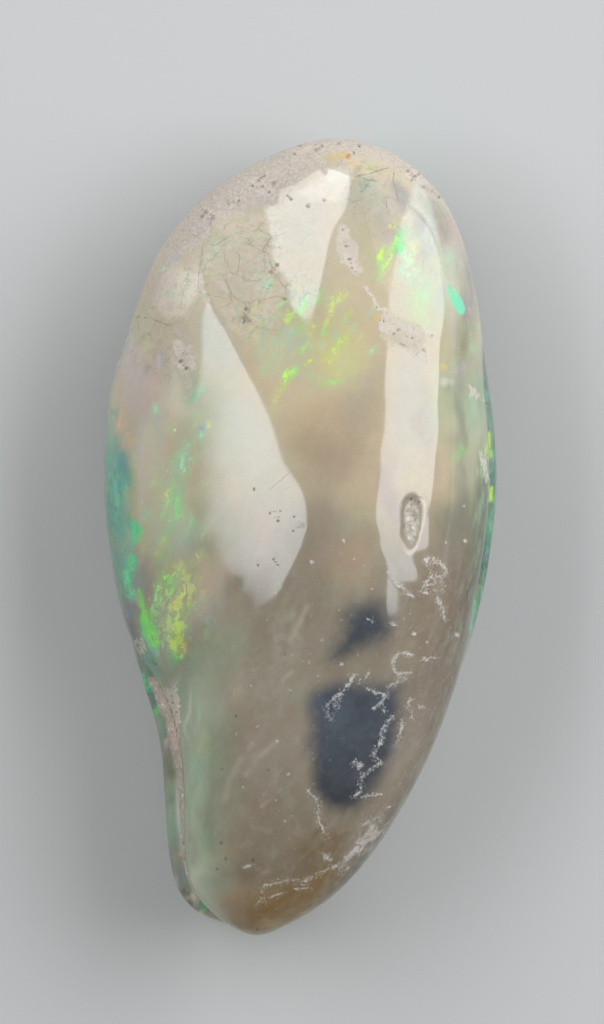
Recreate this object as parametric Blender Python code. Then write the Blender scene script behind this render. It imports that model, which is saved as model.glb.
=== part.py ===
# Opalized clam fossil: two cemented valves and the thin band of rock matrix
# that fills the seam between them.
#
# The fossil lies on its back valve. +Y runs from the pointed end to the broad
# rounded end, +X to the right as the front valve is looked down on, +Z up.
# The origin is the centre of the footprint box, at the resting surface.
# Lengths below are millimetres unless a name says otherwise.

import bpy
import numpy as np

for thing in list(bpy.data.objects):
    bpy.data.objects.remove(thing, do_unlink=True)

MM = 0.001

# ---------------------------------------------------------------- dimensions
SEAM_Z = 5.15          # height of the seam's middle above the resting surface
SEAM_SAG = 0.25        # how far the seam dips at mid length
SEAM_TILT = 0.012      # rise of the seam per millimetre across the fossil
SEAM_HALF = 0.55       # half the height of the groove between the two lips
FACE_GAP = 0.15        # each valve's inner face stands this far off the seam's middle
LIP_RISE = 0.90        # front valve's widest line above the seam's middle
LIP_IN = 0.35          # how far its rounded lip turns in below that line
GROOVE_DEPTH = 1.60    # depth of the groove, measured in from the front outline
MATRIX_HALF = 0.25     # half the thickness of the matrix band
MATRIX_OUT = 0.30      # the band's outer edge, in from the front outline
MATRIX_SPILL = 0.60    # how much further out it spreads where the back valve makes a ledge
MATRIX_IN = 1.28       # the band's inner edge, in from the front outline
FRONT_RISE = 10.0      # rise of the plain dome before the swellings are added
SHOULDER_DROP = 1.45   # back valve's widest line below the seam's middle
BELLY_CUT = 0.30       # depth of the worn flat that the back valve rests on
CENTRE = np.array((1.4, 2.0))        # where the front valve's ribs of mesh meet
BELLY = np.array((0.3, 2.2))       # deepest point of the back valve
N_ROUND = 72           # mesh points around the outline

# Outline of the front valve, clockwise from the broad end: x, y, and how far
# the back valve stands out past it there (minus where it is tucked under).
OUTLINE = np.array([
    (1.9, 23.04, -.35), (4.2, 22.68, -.35), (6.4, 21.5, -.30), (8.5, 19.2, -.25),
    (9.8, 15.8, -.20), (10.45, 12.3, -.05), (10.62, 8.9, .30), (10.88, 5.9, .40),
    (10.97, 2.7, .43), (10.75, 0.1, .42), (10.4, -2.2, .42), (10.02, -4.0, .40),
    (9.65, -6.3, .15), (8.8, -9.2, -.10), (7.45, -12.7, -.20), (5.65, -16.1, -.20),
    (3.85, -18.75, -.25), (1.9, -20.8, -.30), (-0.2, -22.2, -.35), (-2.4, -23.14, -.30),
    (-3.95, -22.6, 0.0), (-5.2, -21.7, .5), (-6.25, -20.4, .85), (-6.7, -18.4, .90),
    (-6.75, -15.3, 1.1), (-6.95, -12.4, 1.1), (-7.4, -10.1, 1.15), (-8.3, -8.3, .85),
    (-9.45, -6.6, .20), (-10.3, -4.5, -.1), (-10.95, -1.4, -.25), (-11.33, 2.1, -.3),
    (-11.37, 5.6, -.3), (-11.05, 8.5, -.3), (-10.4, 10.6, -.3), (-9.6, 12.95, -.3),
    (-8.55, 15.8, -.3), (-7.05, 18.1, -.35), (-4.95, 20.2, -.35), (-2.2, 21.8, -.35),
    (0.0, 22.7, -.35)])

# Slope of the front valve's face at chosen points: x, y, rise per millimetre
# along x, rise per millimetre along y (None where that slope is left free).
# They give the broad upper face, the keel-like crest below it, the shallow
# hollow at the upper left and the hump beside it.
SLOPES = [
    (3.35, 21.2, .26, None), (2.35, 19.2, .26, None), (1.5, 17.2, .26, None), (1.25, 14.6, .26, None),
    (-5.65, 13.7, .27, None), (-4.35, 11.2, .27, None), (-2.9, 8.4, .27, None), (-1.45, 5.5, .27, None),
    (0.0, 2.7, .27, None), (0.7, 0.95, .27, .12), (-0.9, -1.95, None, .12), (-2.2, -4.25, None, .12),
    (-4.2, 15.9, .13, None), (-2.6, 13.7, .12, None), (-0.9, 11.1, .13, None), (0.3, 7.9, .16, None),
    (0.0, 18.0, .42, None), (0.7, 20.1, .42, None), (-0.9, 16.3, .32, None), (0.0, 14.9, .31, None),
    (-7.1, 14.6, .62, None), (-6.4, 10.8, .50, None), (-5.8, 6.75, .52, None), (-4.05, 3.3, .47, None),
    (5.9, 18.6, -.27, None), (5.3, 15.4, -.27, None), (4.9, 12.0, -.27, None), (4.9, 7.9, -.27, None),
    (4.75, 4.15, -.27, None), (4.45, 2.6, -.27, None), (4.95, -0.5, -.27, None), (5.45, -4.0, -.27, .12),
    (7.85, 11.7, -.70, None), (8.0, 7.9, -.70, None), (7.85, 5.0, -.70, None), (7.4, 1.55, -.70, None),
    (2.3, 6.2, .0, .0), (2.6, 0.95, .0, .09), (2.0, -4.85, .0, .17), (2.6, 12.0, -.02, -.10),
    (1.25, -9.45, .0, .23), (0.0, -15.25, .0, None), (3.15, 17.2, None, -.32), (0.0, 17.2, None, -.30),
    (-3.5, 17.2, None, -.38), (-4.65, 13.7, None, -.20), (-2.35, 11.4, None, -.15), (6.05, 17.2, None, -.35),
    (-8.7, 7.9, None, -.02), (-5.8, 10.8, None, -.08), (-6.7, 3.3, None, .02), (-3.2, 5.0, None, .02),
    (-3.5, 0.4, .42, .07), (-6.4, -3.7, .50, .16), (-7.85, 0.95, .75, .06), (-0.6, -6.0, .16, .17),
    (-3.5, -7.15, .33, .18), (-3.8, -10.6, .30, .22), (-3.8, -13.0, .30, .27), (1.7, -1.95, .07, .13),
    (4.05, -1.35, -.20, .12), (6.35, -3.7, -.50, .14)]
SWELL_PITCH = 2.6      # spacing of the swellings
SWELL_SPREAD = 3.0     # spread of each one
SWELL_HOLD = 0.12      # how firmly the face keeps to the plain dome elsewhere
SWELL_EASE = 0.06      # how firmly each swelling is kept small


# ------------------------------------------------------------------ outline
def closed_spline(rows, per_span):
    """Smooth closed curve through the rows."""
    count = len(rows)
    out = []
    for i in range(count):
        a, b, c, d = rows[i - 1], rows[i], rows[(i + 1) % count], rows[(i + 2) % count]
        for k in range(per_span):
            f = k / per_span
            out.append(0.5 * (2 * b + (c - a) * f + (2 * a - 5 * b + 4 * c - d) * f * f
                              + (3 * b - a - 3 * c + d) * f ** 3))
    return np.array(out)


def eased(values, cut):
    """A periodic row of values with its shortest waves smoothed away."""
    n = len(values)
    waves = np.fft.fftfreq(n, 1.0 / n)
    return np.fft.ifft(np.fft.fft(values) * np.exp(-(waves / cut) ** 2)).real


N_TABLE = 1440
ANGLES = np.linspace(0.0, 2 * np.pi, N_TABLE, endpoint=False)
_curve = closed_spline(OUTLINE, 12)
_angle = np.arctan2(_curve[:, 1] - CENTRE[1], _curve[:, 0] - CENTRE[0]) % (2 * np.pi)
_order = np.argsort(_angle)
RADII = eased(np.interp(ANGLES, _angle[_order],
                        np.hypot(_curve[:, 0] - CENTRE[0], _curve[:, 1] - CENTRE[1])[_order],
                        period=2 * np.pi), 90.0)
LEDGES = eased(np.interp(ANGLES, _angle[_order], _curve[_order, 2], period=2 * np.pi), 60.0)


def around(table, angle):
    return np.interp(angle % (2 * np.pi), ANGLES, table, period=2 * np.pi)


# an even ellipse near the middle, so the face has no crease where ribs meet
_shape = np.stack([np.ones_like(ANGLES), np.cos(2 * ANGLES), np.sin(2 * ANGLES)], -1)
OVAL = np.linalg.lstsq(_shape, 1 / RADII ** 2, rcond=None)[0]


def ease_step(low, high, x):
    t = np.clip((x - low) / (high - low), 0.0, 1.0)
    return t * t * (3 - 2 * t)


def spread_squared(x, y):
    """0 at the middle of the face, 1 on the outline."""
    dx, dy = x - CENTRE[0], y - CENTRE[1]
    r2 = dx * dx + dy * dy
    angle = np.arctan2(dy, dx)
    inner = OVAL[0] + OVAL[1] * np.cos(2 * angle) + OVAL[2] * np.sin(2 * angle)
    outer = 1 / around(RADII, angle) ** 2
    blend = ease_step(0.0, 0.75, np.sqrt(r2 * outer))
    return r2 * (inner * (1 - blend) + outer * blend)


# ------------------------------------------------------------ front face
def plain_dome(x, y):
    return FRONT_RISE * np.sqrt(1 - np.clip(spread_squared(x, y), 0, 1))


_gx, _gy = np.meshgrid(np.arange(-12, 12.1, SWELL_PITCH), np.arange(-23, 23.1, SWELL_PITCH))
_inside = spread_squared(_gx.ravel(), _gy.ravel()) < 1.1
SWELL_X, SWELL_Y = _gx.ravel()[_inside], _gy.ravel()[_inside]


def swellings(x, y):
    x, y = np.asarray(x, float), np.asarray(y, float)
    fade = np.clip(1 - spread_squared(x, y), 0, 1)
    d2 = (x[..., None] - SWELL_X) ** 2 + (y[..., None] - SWELL_Y) ** 2
    return np.exp(-d2 / (2 * SWELL_SPREAD ** 2)) * fade[..., None]


def slope_of(surface, x, y, along, e=0.01):
    if along == "x":
        return (surface(x + e, y) - surface(x - e, y)) / (2 * e)
    return (surface(x, y + e) - surface(x, y - e)) / (2 * e)


def swelling_sizes():
    """Least-squares sizes that give the face the slopes in SLOPES."""
    rows, wanted = [], []
    for x, y, *slopes in SLOPES:
        x, y = np.array(float(x)), np.array(float(y))
        for along, slope in zip("xy", slopes):
            if slope is not None:
                rows.append(slope_of(swellings, x, y, along))
                wanted.append(slope - slope_of(plain_dome, x, y, along))
    for x, y in zip(SWELL_X, SWELL_Y):
        if spread_squared(x, y) <= 0.8:
            for along in "xy":
                rows.append(SWELL_HOLD * slope_of(swellings, np.array(x), np.array(y), along))
                wanted.append(0.0)
    a, b = np.array(rows), np.array(wanted)
    return np.linalg.solve(a.T @ a + SWELL_EASE ** 2 * np.eye(a.shape[1]), a.T @ b)


SIZES = swelling_sizes()


def seam_height(x, y):
    return SEAM_Z - SEAM_SAG * np.cos(np.pi * y / 30.0) + SEAM_TILT * x


def front_face(x, y):
    return seam_height(x, y) + LIP_RISE + plain_dome(x, y) + swellings(x, y) @ SIZES


# ------------------------------------------------------------ plan curves
def plan(angle, offset=0.0):
    """Points on the front outline, moved outward by offset."""
    e = 1e-3
    r = around(RADII, angle)
    slope = (around(RADII, angle + 4 * e) - around(RADII, angle - 4 * e)) / (8 * e)
    px, py = CENTRE[0] + r * np.cos(angle), CENTRE[1] + r * np.sin(angle)
    tx = slope * np.cos(angle) - r * np.sin(angle)
    ty = slope * np.sin(angle) + r * np.cos(angle)
    size = np.hypot(tx, ty)
    return px + offset * ty / size, py - offset * tx / size


def even_angles(count):
    """Angles that space points evenly along the outline."""
    fine = np.linspace(0, 2 * np.pi, 4 * N_TABLE, endpoint=False)
    px, py = plan(fine)
    step = np.hypot(np.roll(px, -1) - px, np.roll(py, -1) - py)
    length = np.concatenate([[0.0], np.cumsum(step)])
    return np.interp(np.arange(count) * length[-1] / count, length, np.append(fine, 2 * np.pi))


ROUND = even_angles(N_ROUND)


# ------------------------------------------------------------ mesh building
def solid_from_rings(name, top_pole, rings, bottom_pole, colour, roughness):
    """One closed solid: a fan, bands between rings, and a second fan."""
    count = len(rings[0])
    points = [tuple(top_pole)] if top_pole is not None else []
    base = len(points)
    for ring in rings:
        points.extend(tuple(p) for p in ring)
    if bottom_pole is not None:
        points.append(tuple(bottom_pole))
    faces = []
    if top_pole is not None:
        faces += [(0, base + i, base + (i + 1) % count) for i in range(count)]
    loops = len(rings) if top_pole is None else len(rings) - 1
    for k in range(loops):
        lo, hi = base + k * count, base + ((k + 1) % len(rings)) * count
        for i in range(count):
            j = (i + 1) % count
            faces.append((lo + i, hi + i, hi + j, lo + j))
    if bottom_pole is not None:
        last, end = base + (len(rings) - 1) * count, len(points) - 1
        faces += [(last + (i + 1) % count, last + i, end) for i in range(count)]
    mesh = bpy.data.meshes.new(name)
    mesh.from_pydata([tuple(c * MM for c in p) for p in points], [], faces)
    mesh.validate()
    mesh.shade_smooth()
    mesh.set_sharp_from_angle(angle=np.radians(48))
    piece = bpy.data.objects.new(name, mesh)
    bpy.context.collection.objects.link(piece)
    material = bpy.data.materials.new(name)
    material.use_nodes = True
    shader = material.node_tree.nodes["Principled BSDF"]
    shader.inputs["Base Color"].default_value = (*colour, 1.0)
    shader.inputs["Roughness"].default_value = roughness
    shader.inputs["Metallic"].default_value = 0.0
    mesh.materials.append(material)
    return piece


def ring_at(offset, height):
    """A ring at an offset from the outline, height above the seam's middle."""
    px, py = plan(ROUND, offset)
    return np.stack([px, py, seam_height(px, py) + height], -1)


def inner_rings(offset, height, fractions):
    """Rings of a flat inner face, drawn in towards the middle."""
    px, py = plan(ROUND, offset)
    out = []
    for f in fractions:
        x, y = CENTRE[0] + (px - CENTRE[0]) * f, CENTRE[1] + (py - CENTRE[1]) * f
        out.append(np.stack([x, y, seam_height(x, y) + height], -1))
    return out


def centre_at(height):
    return (CENTRE[0], CENTRE[1], float(seam_height(*CENTRE)) + height)


# front valve: face, rounded lip, groove floor and inner face
face_rings = []
for f in np.sin(np.linspace(0, np.pi / 2, 14)[1:]):
    r = around(RADII, ROUND) * f
    fx, fy = CENTRE[0] + r * np.cos(ROUND), CENTRE[1] + r * np.sin(ROUND)
    face_rings.append(np.stack([fx, fy, front_face(fx, fy)], -1))
lip_rings = [ring_at(-LIP_IN * (1 - np.cos(a)), LIP_RISE - (LIP_RISE - SEAM_HALF) * np.sin(a))
             for a in np.radians((35, 65, 90))]
solid_from_rings(
    "front_valve", (*CENTRE, float(front_face(*CENTRE))),
    face_rings + lip_rings
    + [ring_at(-GROOVE_DEPTH, SEAM_HALF), ring_at(-GROOVE_DEPTH - 0.05, FACE_GAP)]
    + inner_rings(-GROOVE_DEPTH - 0.05, FACE_GAP, (0.72, 0.42, 0.18)),
    centre_at(FACE_GAP), (0.52, 0.47, 0.36), 0.18)

# back valve: inner face, groove floor, rounded shoulder and belly
ledge = around(LEDGES, ROUND)


def shoulder_ring(a):
    """From the lip at 90 degrees out and down to the widest line at 0."""
    reach = LIP_IN + ledge
    offset = ledge - reach * (1 - np.cos(a))
    height = -SHOULDER_DROP + (SHOULDER_DROP - SEAM_HALF) * np.sin(a)
    return ring_at(offset, height)


widest = shoulder_ring(0.0)
belly_depth = float(seam_height(*BELLY)) - SHOULDER_DROP + BELLY_CUT
belly_rings = []
for f in np.cos(np.linspace(0, np.pi / 2, 14)[1:-1]):
    bx = BELLY[0] + (widest[:, 0] - BELLY[0]) * f
    by = BELLY[1] + (widest[:, 1] - BELLY[1]) * f
    bz = seam_height(bx, by) - SHOULDER_DROP - belly_depth * np.sqrt(1 - f * f)
    belly_rings.append(np.stack([bx, by, np.maximum(bz, 0.0)], -1))
solid_from_rings(
    "back_valve", centre_at(-FACE_GAP),
    inner_rings(-GROOVE_DEPTH - 0.05, -FACE_GAP, (0.18, 0.42, 0.72))
    + [ring_at(-GROOVE_DEPTH - 0.05, -FACE_GAP), ring_at(-GROOVE_DEPTH, -SEAM_HALF)]
    + [shoulder_ring(a) for a in np.radians((90, 62, 32))] + [widest] + belly_rings,
    (*BELLY, 0.0), (0.30, 0.36, 0.31), 0.22)

# matrix band lying in the groove, spread out over the back valve's ledge
edge = -MATRIX_OUT + MATRIX_SPILL * ease_step(0.35, 0.90, ledge)
solid_from_rings(
    "seam_matrix", None,
    [ring_at(edge, 0.0), ring_at(edge - 0.12, -MATRIX_HALF),
     ring_at(-MATRIX_IN, -MATRIX_HALF), ring_at(-MATRIX_IN, MATRIX_HALF),
     ring_at(edge - 0.12, MATRIX_HALF)],
    None, (0.50, 0.40, 0.36), 0.85)
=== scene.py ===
import math

import bpy
import numpy as np
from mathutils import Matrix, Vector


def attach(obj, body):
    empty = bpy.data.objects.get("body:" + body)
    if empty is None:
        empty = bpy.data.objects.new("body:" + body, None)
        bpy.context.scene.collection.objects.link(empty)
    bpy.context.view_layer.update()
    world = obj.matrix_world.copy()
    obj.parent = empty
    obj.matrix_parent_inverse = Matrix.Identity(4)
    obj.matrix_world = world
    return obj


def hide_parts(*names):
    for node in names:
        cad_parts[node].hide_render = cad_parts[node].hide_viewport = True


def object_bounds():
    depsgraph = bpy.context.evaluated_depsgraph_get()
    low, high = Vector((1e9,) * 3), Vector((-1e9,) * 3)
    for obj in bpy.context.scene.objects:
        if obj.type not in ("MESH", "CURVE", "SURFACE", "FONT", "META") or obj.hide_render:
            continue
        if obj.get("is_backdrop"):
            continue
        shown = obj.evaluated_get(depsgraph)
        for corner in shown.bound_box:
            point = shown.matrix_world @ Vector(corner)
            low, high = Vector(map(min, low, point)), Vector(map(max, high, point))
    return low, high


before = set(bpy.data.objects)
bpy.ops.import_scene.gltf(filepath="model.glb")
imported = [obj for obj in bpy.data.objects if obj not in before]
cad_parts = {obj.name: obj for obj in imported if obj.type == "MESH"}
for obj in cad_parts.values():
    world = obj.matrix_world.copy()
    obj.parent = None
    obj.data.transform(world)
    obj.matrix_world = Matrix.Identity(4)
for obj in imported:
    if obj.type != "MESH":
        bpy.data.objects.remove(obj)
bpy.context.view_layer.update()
MM = 0.001

# ===================================================================== shape
# The surface functions repeat those of the construction, in millimetres.
SEAM_Z, SEAM_SAG, SEAM_TILT = 5.15, 0.25, 0.012
LIP_RISE, LIP_IN, SHOULDER_DROP = 0.90, 0.35, 1.45
GROOVE_DEPTH, FRONT_RISE, BELLY_CUT = 1.60, 10.0, 0.30
CENTRE = np.array((1.4, 2.0))
BELLY = np.array((0.3, 2.2))
OUTLINE = np.array([
    (1.9, 23.04, -.35), (4.2, 22.68, -.35), (6.4, 21.5, -.30), (8.5, 19.2, -.25),
    (9.8, 15.8, -.20), (10.45, 12.3, -.05), (10.62, 8.9, .30), (10.88, 5.9, .40),
    (10.97, 2.7, .43), (10.75, 0.1, .42), (10.4, -2.2, .42), (10.02, -4.0, .40),
    (9.65, -6.3, .15), (8.8, -9.2, -.10), (7.45, -12.7, -.20), (5.65, -16.1, -.20),
    (3.85, -18.75, -.25), (1.9, -20.8, -.30), (-0.2, -22.2, -.35), (-2.4, -23.14, -.30),
    (-3.95, -22.6, 0.0), (-5.2, -21.7, .5), (-6.25, -20.4, .85), (-6.7, -18.4, .90),
    (-6.75, -15.3, 1.1), (-6.95, -12.4, 1.1), (-7.4, -10.1, 1.15), (-8.3, -8.3, .85),
    (-9.45, -6.6, .20), (-10.3, -4.5, -.1), (-10.95, -1.4, -.25), (-11.33, 2.1, -.3),
    (-11.37, 5.6, -.3), (-11.05, 8.5, -.3), (-10.4, 10.6, -.3), (-9.6, 12.95, -.3),
    (-8.55, 15.8, -.3), (-7.05, 18.1, -.35), (-4.95, 20.2, -.35), (-2.2, 21.8, -.35),
    (0.0, 22.7, -.35)])
SLOPES = [
    (3.35, 21.2, .26, None), (2.35, 19.2, .26, None), (1.5, 17.2, .26, None), (1.25, 14.6, .26, None),
    (-5.65, 13.7, .27, None), (-4.35, 11.2, .27, None), (-2.9, 8.4, .27, None), (-1.45, 5.5, .27, None),
    (0.0, 2.7, .27, None), (0.7, 0.95, .27, .12), (-0.9, -1.95, None, .12), (-2.2, -4.25, None, .12),
    (-4.2, 15.9, .13, None), (-2.6, 13.7, .12, None), (-0.9, 11.1, .13, None), (0.3, 7.9, .16, None),
    (0.0, 18.0, .42, None), (0.7, 20.1, .42, None), (-0.9, 16.3, .32, None), (0.0, 14.9, .31, None),
    (-7.1, 14.6, .62, None), (-6.4, 10.8, .50, None), (-5.8, 6.75, .52, None), (-4.05, 3.3, .47, None),
    (5.9, 18.6, -.27, None), (5.3, 15.4, -.27, None), (4.9, 12.0, -.27, None), (4.9, 7.9, -.27, None),
    (4.75, 4.15, -.27, None), (4.45, 2.6, -.27, None), (4.95, -0.5, -.27, None), (5.45, -4.0, -.27, .12),
    (7.85, 11.7, -.70, None), (8.0, 7.9, -.70, None), (7.85, 5.0, -.70, None), (7.4, 1.55, -.70, None),
    (2.3, 6.2, .0, .0), (2.6, 0.95, .0, .09), (2.0, -4.85, .0, .17), (2.6, 12.0, -.02, -.10),
    (1.25, -9.45, .0, .23), (0.0, -15.25, .0, None), (3.15, 17.2, None, -.32), (0.0, 17.2, None, -.30),
    (-3.5, 17.2, None, -.38), (-4.65, 13.7, None, -.20), (-2.35, 11.4, None, -.15), (6.05, 17.2, None, -.35),
    (-8.7, 7.9, None, -.02), (-5.8, 10.8, None, -.08), (-6.7, 3.3, None, .02), (-3.2, 5.0, None, .02),
    (-3.5, 0.4, .42, .07), (-6.4, -3.7, .50, .16), (-7.85, 0.95, .75, .06), (-0.6, -6.0, .16, .17),
    (-3.5, -7.15, .33, .18), (-3.8, -10.6, .30, .22), (-3.8, -13.0, .30, .27), (1.7, -1.95, .07, .13),
    (4.05, -1.35, -.20, .12), (6.35, -3.7, -.50, .14)]
SWELL_PITCH, SWELL_SPREAD, SWELL_HOLD, SWELL_EASE = 2.6, 3.0, 0.12, 0.06


def closed_spline(rows, per_span):
    count = len(rows)
    out = []
    for i in range(count):
        a, b, c, d = rows[i - 1], rows[i], rows[(i + 1) % count], rows[(i + 2) % count]
        for k in range(per_span):
            f = k / per_span
            out.append(0.5 * (2 * b + (c - a) * f + (2 * a - 5 * b + 4 * c - d) * f * f
                              + (3 * b - a - 3 * c + d) * f ** 3))
    return np.array(out)


def eased(values, cut):
    n = len(values)
    waves = np.fft.fftfreq(n, 1.0 / n)
    return np.fft.ifft(np.fft.fft(values) * np.exp(-(waves / cut) ** 2)).real


N_TABLE = 1440
ANGLES = np.linspace(0.0, 2 * np.pi, N_TABLE, endpoint=False)
_curve = closed_spline(OUTLINE, 12)
_angle = np.arctan2(_curve[:, 1] - CENTRE[1], _curve[:, 0] - CENTRE[0]) % (2 * np.pi)
_order = np.argsort(_angle)
RADII = eased(np.interp(ANGLES, _angle[_order],
                        np.hypot(_curve[:, 0] - CENTRE[0], _curve[:, 1] - CENTRE[1])[_order],
                        period=2 * np.pi), 90.0)
LEDGES = eased(np.interp(ANGLES, _angle[_order], _curve[_order, 2], period=2 * np.pi), 60.0)
_shape = np.stack([np.ones_like(ANGLES), np.cos(2 * ANGLES), np.sin(2 * ANGLES)], -1)
OVAL = np.linalg.lstsq(_shape, 1 / RADII ** 2, rcond=None)[0]


def around(table, angle):
    return np.interp(angle % (2 * np.pi), ANGLES, table, period=2 * np.pi)


def ease_step(low, high, x):
    t = np.clip((x - low) / (high - low), 0.0, 1.0)
    return t * t * (3 - 2 * t)


def spread_squared(x, y):
    dx, dy = x - CENTRE[0], y - CENTRE[1]
    r2 = dx * dx + dy * dy
    angle = np.arctan2(dy, dx)
    inner = OVAL[0] + OVAL[1] * np.cos(2 * angle) + OVAL[2] * np.sin(2 * angle)
    outer = 1 / around(RADII, angle) ** 2
    blend = ease_step(0.0, 0.75, np.sqrt(r2 * outer))
    return r2 * (inner * (1 - blend) + outer * blend)


def plain_dome(x, y):
    return FRONT_RISE * np.sqrt(1 - np.clip(spread_squared(x, y), 0, 1))


_gx, _gy = np.meshgrid(np.arange(-12, 12.1, SWELL_PITCH), np.arange(-23, 23.1, SWELL_PITCH))
_inside = spread_squared(_gx.ravel(), _gy.ravel()) < 1.1
SWELL_X, SWELL_Y = _gx.ravel()[_inside], _gy.ravel()[_inside]


def swellings(x, y):
    x, y = np.asarray(x, float), np.asarray(y, float)
    fade = np.clip(1 - spread_squared(x, y), 0, 1)
    d2 = (x[..., None] - SWELL_X) ** 2 + (y[..., None] - SWELL_Y) ** 2
    return np.exp(-d2 / (2 * SWELL_SPREAD ** 2)) * fade[..., None]


def slope_of(surface, x, y, along, e=0.01):
    if along == "x":
        return (surface(x + e, y) - surface(x - e, y)) / (2 * e)
    return (surface(x, y + e) - surface(x, y - e)) / (2 * e)


def swelling_sizes():
    rows, wanted = [], []
    for x, y, *slopes in SLOPES:
        x, y = np.array(float(x)), np.array(float(y))
        for along, slope in zip("xy", slopes):
            if slope is not None:
                rows.append(slope_of(swellings, x, y, along))
                wanted.append(slope - slope_of(plain_dome, x, y, along))
    for x, y in zip(SWELL_X, SWELL_Y):
        if spread_squared(x, y) <= 0.8:
            for along in "xy":
                rows.append(SWELL_HOLD * slope_of(swellings, np.array(x), np.array(y), along))
                wanted.append(0.0)
    a, b = np.array(rows), np.array(wanted)
    return np.linalg.solve(a.T @ a + SWELL_EASE ** 2 * np.eye(a.shape[1]), a.T @ b)


SIZES = swelling_sizes()


def seam_height(x, y):
    return SEAM_Z - SEAM_SAG * np.cos(np.pi * y / 30.0) + SEAM_TILT * x


def front_face(x, y):
    return seam_height(x, y) + LIP_RISE + plain_dome(x, y) + swellings(x, y) @ SIZES


def plan(angle, offset=0.0):
    e = 1e-3
    r = around(RADII, angle)
    slope = (around(RADII, angle + 4 * e) - around(RADII, angle - 4 * e)) / (8 * e)
    px, py = CENTRE[0] + r * np.cos(angle), CENTRE[1] + r * np.sin(angle)
    tx = slope * np.cos(angle) - r * np.sin(angle)
    ty = slope * np.sin(angle) + r * np.cos(angle)
    size = np.hypot(tx, ty)
    return px + offset * ty / size, py - offset * tx / size


def seam_ring(angle, offset, height):
    x, y = plan(angle, offset)
    return np.stack([x, y, seam_height(x, y) + height], -1)


# ==================================================================== camera
CAM_X, CAM_Y, CAM_Z = 0.10, 1.42, 906.0
VIEW_HEIGHT = 59.32
PER_PX = 0.05793


def view_xy(p):
    """Where points of the fossil appear, in the 604 by 1024 frame."""
    k = 900.0 / (CAM_Z - p[..., 2]) / PER_PX
    return 302 + (p[..., 0] - CAM_X) * k, 512 - (p[..., 1] - CAM_Y) * k


# Fine shaping of the face. Each line is where a soft panel's highlight ends on
# the polished opal, and the face is trimmed by small swellings until it does.
PANEL_Z, PANEL_NEAR, PANEL_FAR, PANEL_LOW = 360.0, 205.0, 980.0, -90.0
HIGHLIGHT_ENDS = [
    ("left", [(348, 186), (331, 232), (323, 265), (320, 290)]),
    ("left", [(205, 292), (213, 312), (232, 345), (254, 385), (271, 423), (284, 455), (295, 482), (304, 503), (311, 521)]),
    ("low", [(311, 532), (304, 550), (289, 572), (270, 597), (255, 611)]),
    ("low", [(255, 611), (238, 588), (224, 560)]),
    ("right", [(401, 240), (392, 286), (387, 330), (386, 380), (386, 425), (382, 455), (377, 480), (377, 500), (381, 515), (383, 548), (385, 575), (386, 600), (389, 622), (392, 640)]),
    ("low", [(427, 541), (419, 552), (416, 566), (412, 578), (402, 588), (400, 604), (395, 618)]),
    ("far", [(439, 350), (439, 400), (438, 430), (436, 460), (432, 490), (429, 515)])]
# x, y, direction, slope (None where the trim adds none), how firmly
HOLDS = [
    (188, 292, 0, .42, .6), (188, 292, 1, -.12, .4), (186, 306, 0, .42, .5), (232, 255, 0, .13, .6),
    (250, 290, 0, .13, .6), (240, 230, 0, .14, .6), (262, 330, 0, .13, .6), (225, 225, 0, .18, .5),
    (245, 205, 0, .20, .5), (205, 250, 0, .22, .4), (300, 180, 1, None, .7), (320, 200, 1, None, .7),
    (345, 175, 1, None, .7), (310, 240, 1, None, .7), (300, 270, 1, None, .7), (340, 210, 1, None, .7),
    (290, 220, 0, .34, .5), (300, 250, 0, .32, .5), (312, 215, 0, .33, .5), (325, 185, 0, .33, .5),
    (345, 172, 0, .30, .5), (285, 190, 0, .33, .5), (415, 200, 1, None, .8), (425, 240, 1, None, .8),
    (365, 200, 0, .16, .3), (350, 240, 0, .17, .4), (345, 275, 0, .16, .4), (385, 185, 1, None, .8),
    (375, 160, 1, None, .8), (400, 230, 1, None, .8), (380, 170, 0, None, .6), (450, 290, 1, None, .6),
    (412, 543, 1, .055, 1.0), (403, 568, 1, .065, 1.0), (395, 592, 1, .07, 1.0), (425, 505, 1, .05, .5),
    (395, 205, 0, -.22, .3), (440, 250, 0, -.46, .4), (430, 215, 0, -.40, .3), (448, 290, 0, -.52, .3),
    (414, 554, 1, .065, 1.2), (425, 562, 1, .125, .5), (419, 584, 1, .125, .8), (411, 592, 1, .125, .9), (232, 670, 1, .18, .5), (258, 815, 1, None, .6), (277, 770, 1, None, .5),
    (240, 740, 1, None, .5), (440, 600, 1, None, .6), (420, 620, 0, None, .6), (440, 560, 0, None, .5),
    (285, 345, 0, .14, .4), (305, 400, 0, .17, .4), (325, 480, 0, .13, .4), (303, 515, 1, .07, .7),
    (297, 530, 1, .085, .7), (285, 545, 1, .08, .7), (275, 560, 1, .085, .7), (262, 580, 1, .085, .7),
    (250, 585, 1, .09, .7), (240, 560, 1, .08, .7), (225, 535, 1, .09, .7), (325, 535, 1, .15, .7),
    (318, 560, 1, .15, .7), (304, 580, 1, .155, .7), (288, 600, 1, .155, .7), (272, 618, 1, .16, .7),
    (250, 630, 1, .165, .7), (228, 605, 1, .17, .7), (212, 575, 1, .17, .7), (290, 530, 0, .33, .5),
    (275, 560, 0, .36, .5), (262, 585, 0, .38, .5), (395, 540, 1, .07, .6), (392, 565, 1, .08, .6),
    (393, 615, 1, .085, 1.0), (396, 665, 1, .17, .6), (365, 610, 1, .15, .4), (360, 560, 1, .14, .4),
    (415, 500, 1, .05, .5), (360, 470, 0, -.18, .3)]
TRIM_PITCH, TRIM_SPREAD = 1.7, 2.1
_gx, _gy = np.meshgrid(np.arange(-12, 12.1, TRIM_PITCH), np.arange(-24, 24.1, TRIM_PITCH))
_inside = spread_squared(_gx.ravel(), _gy.ravel()) < .98
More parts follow.
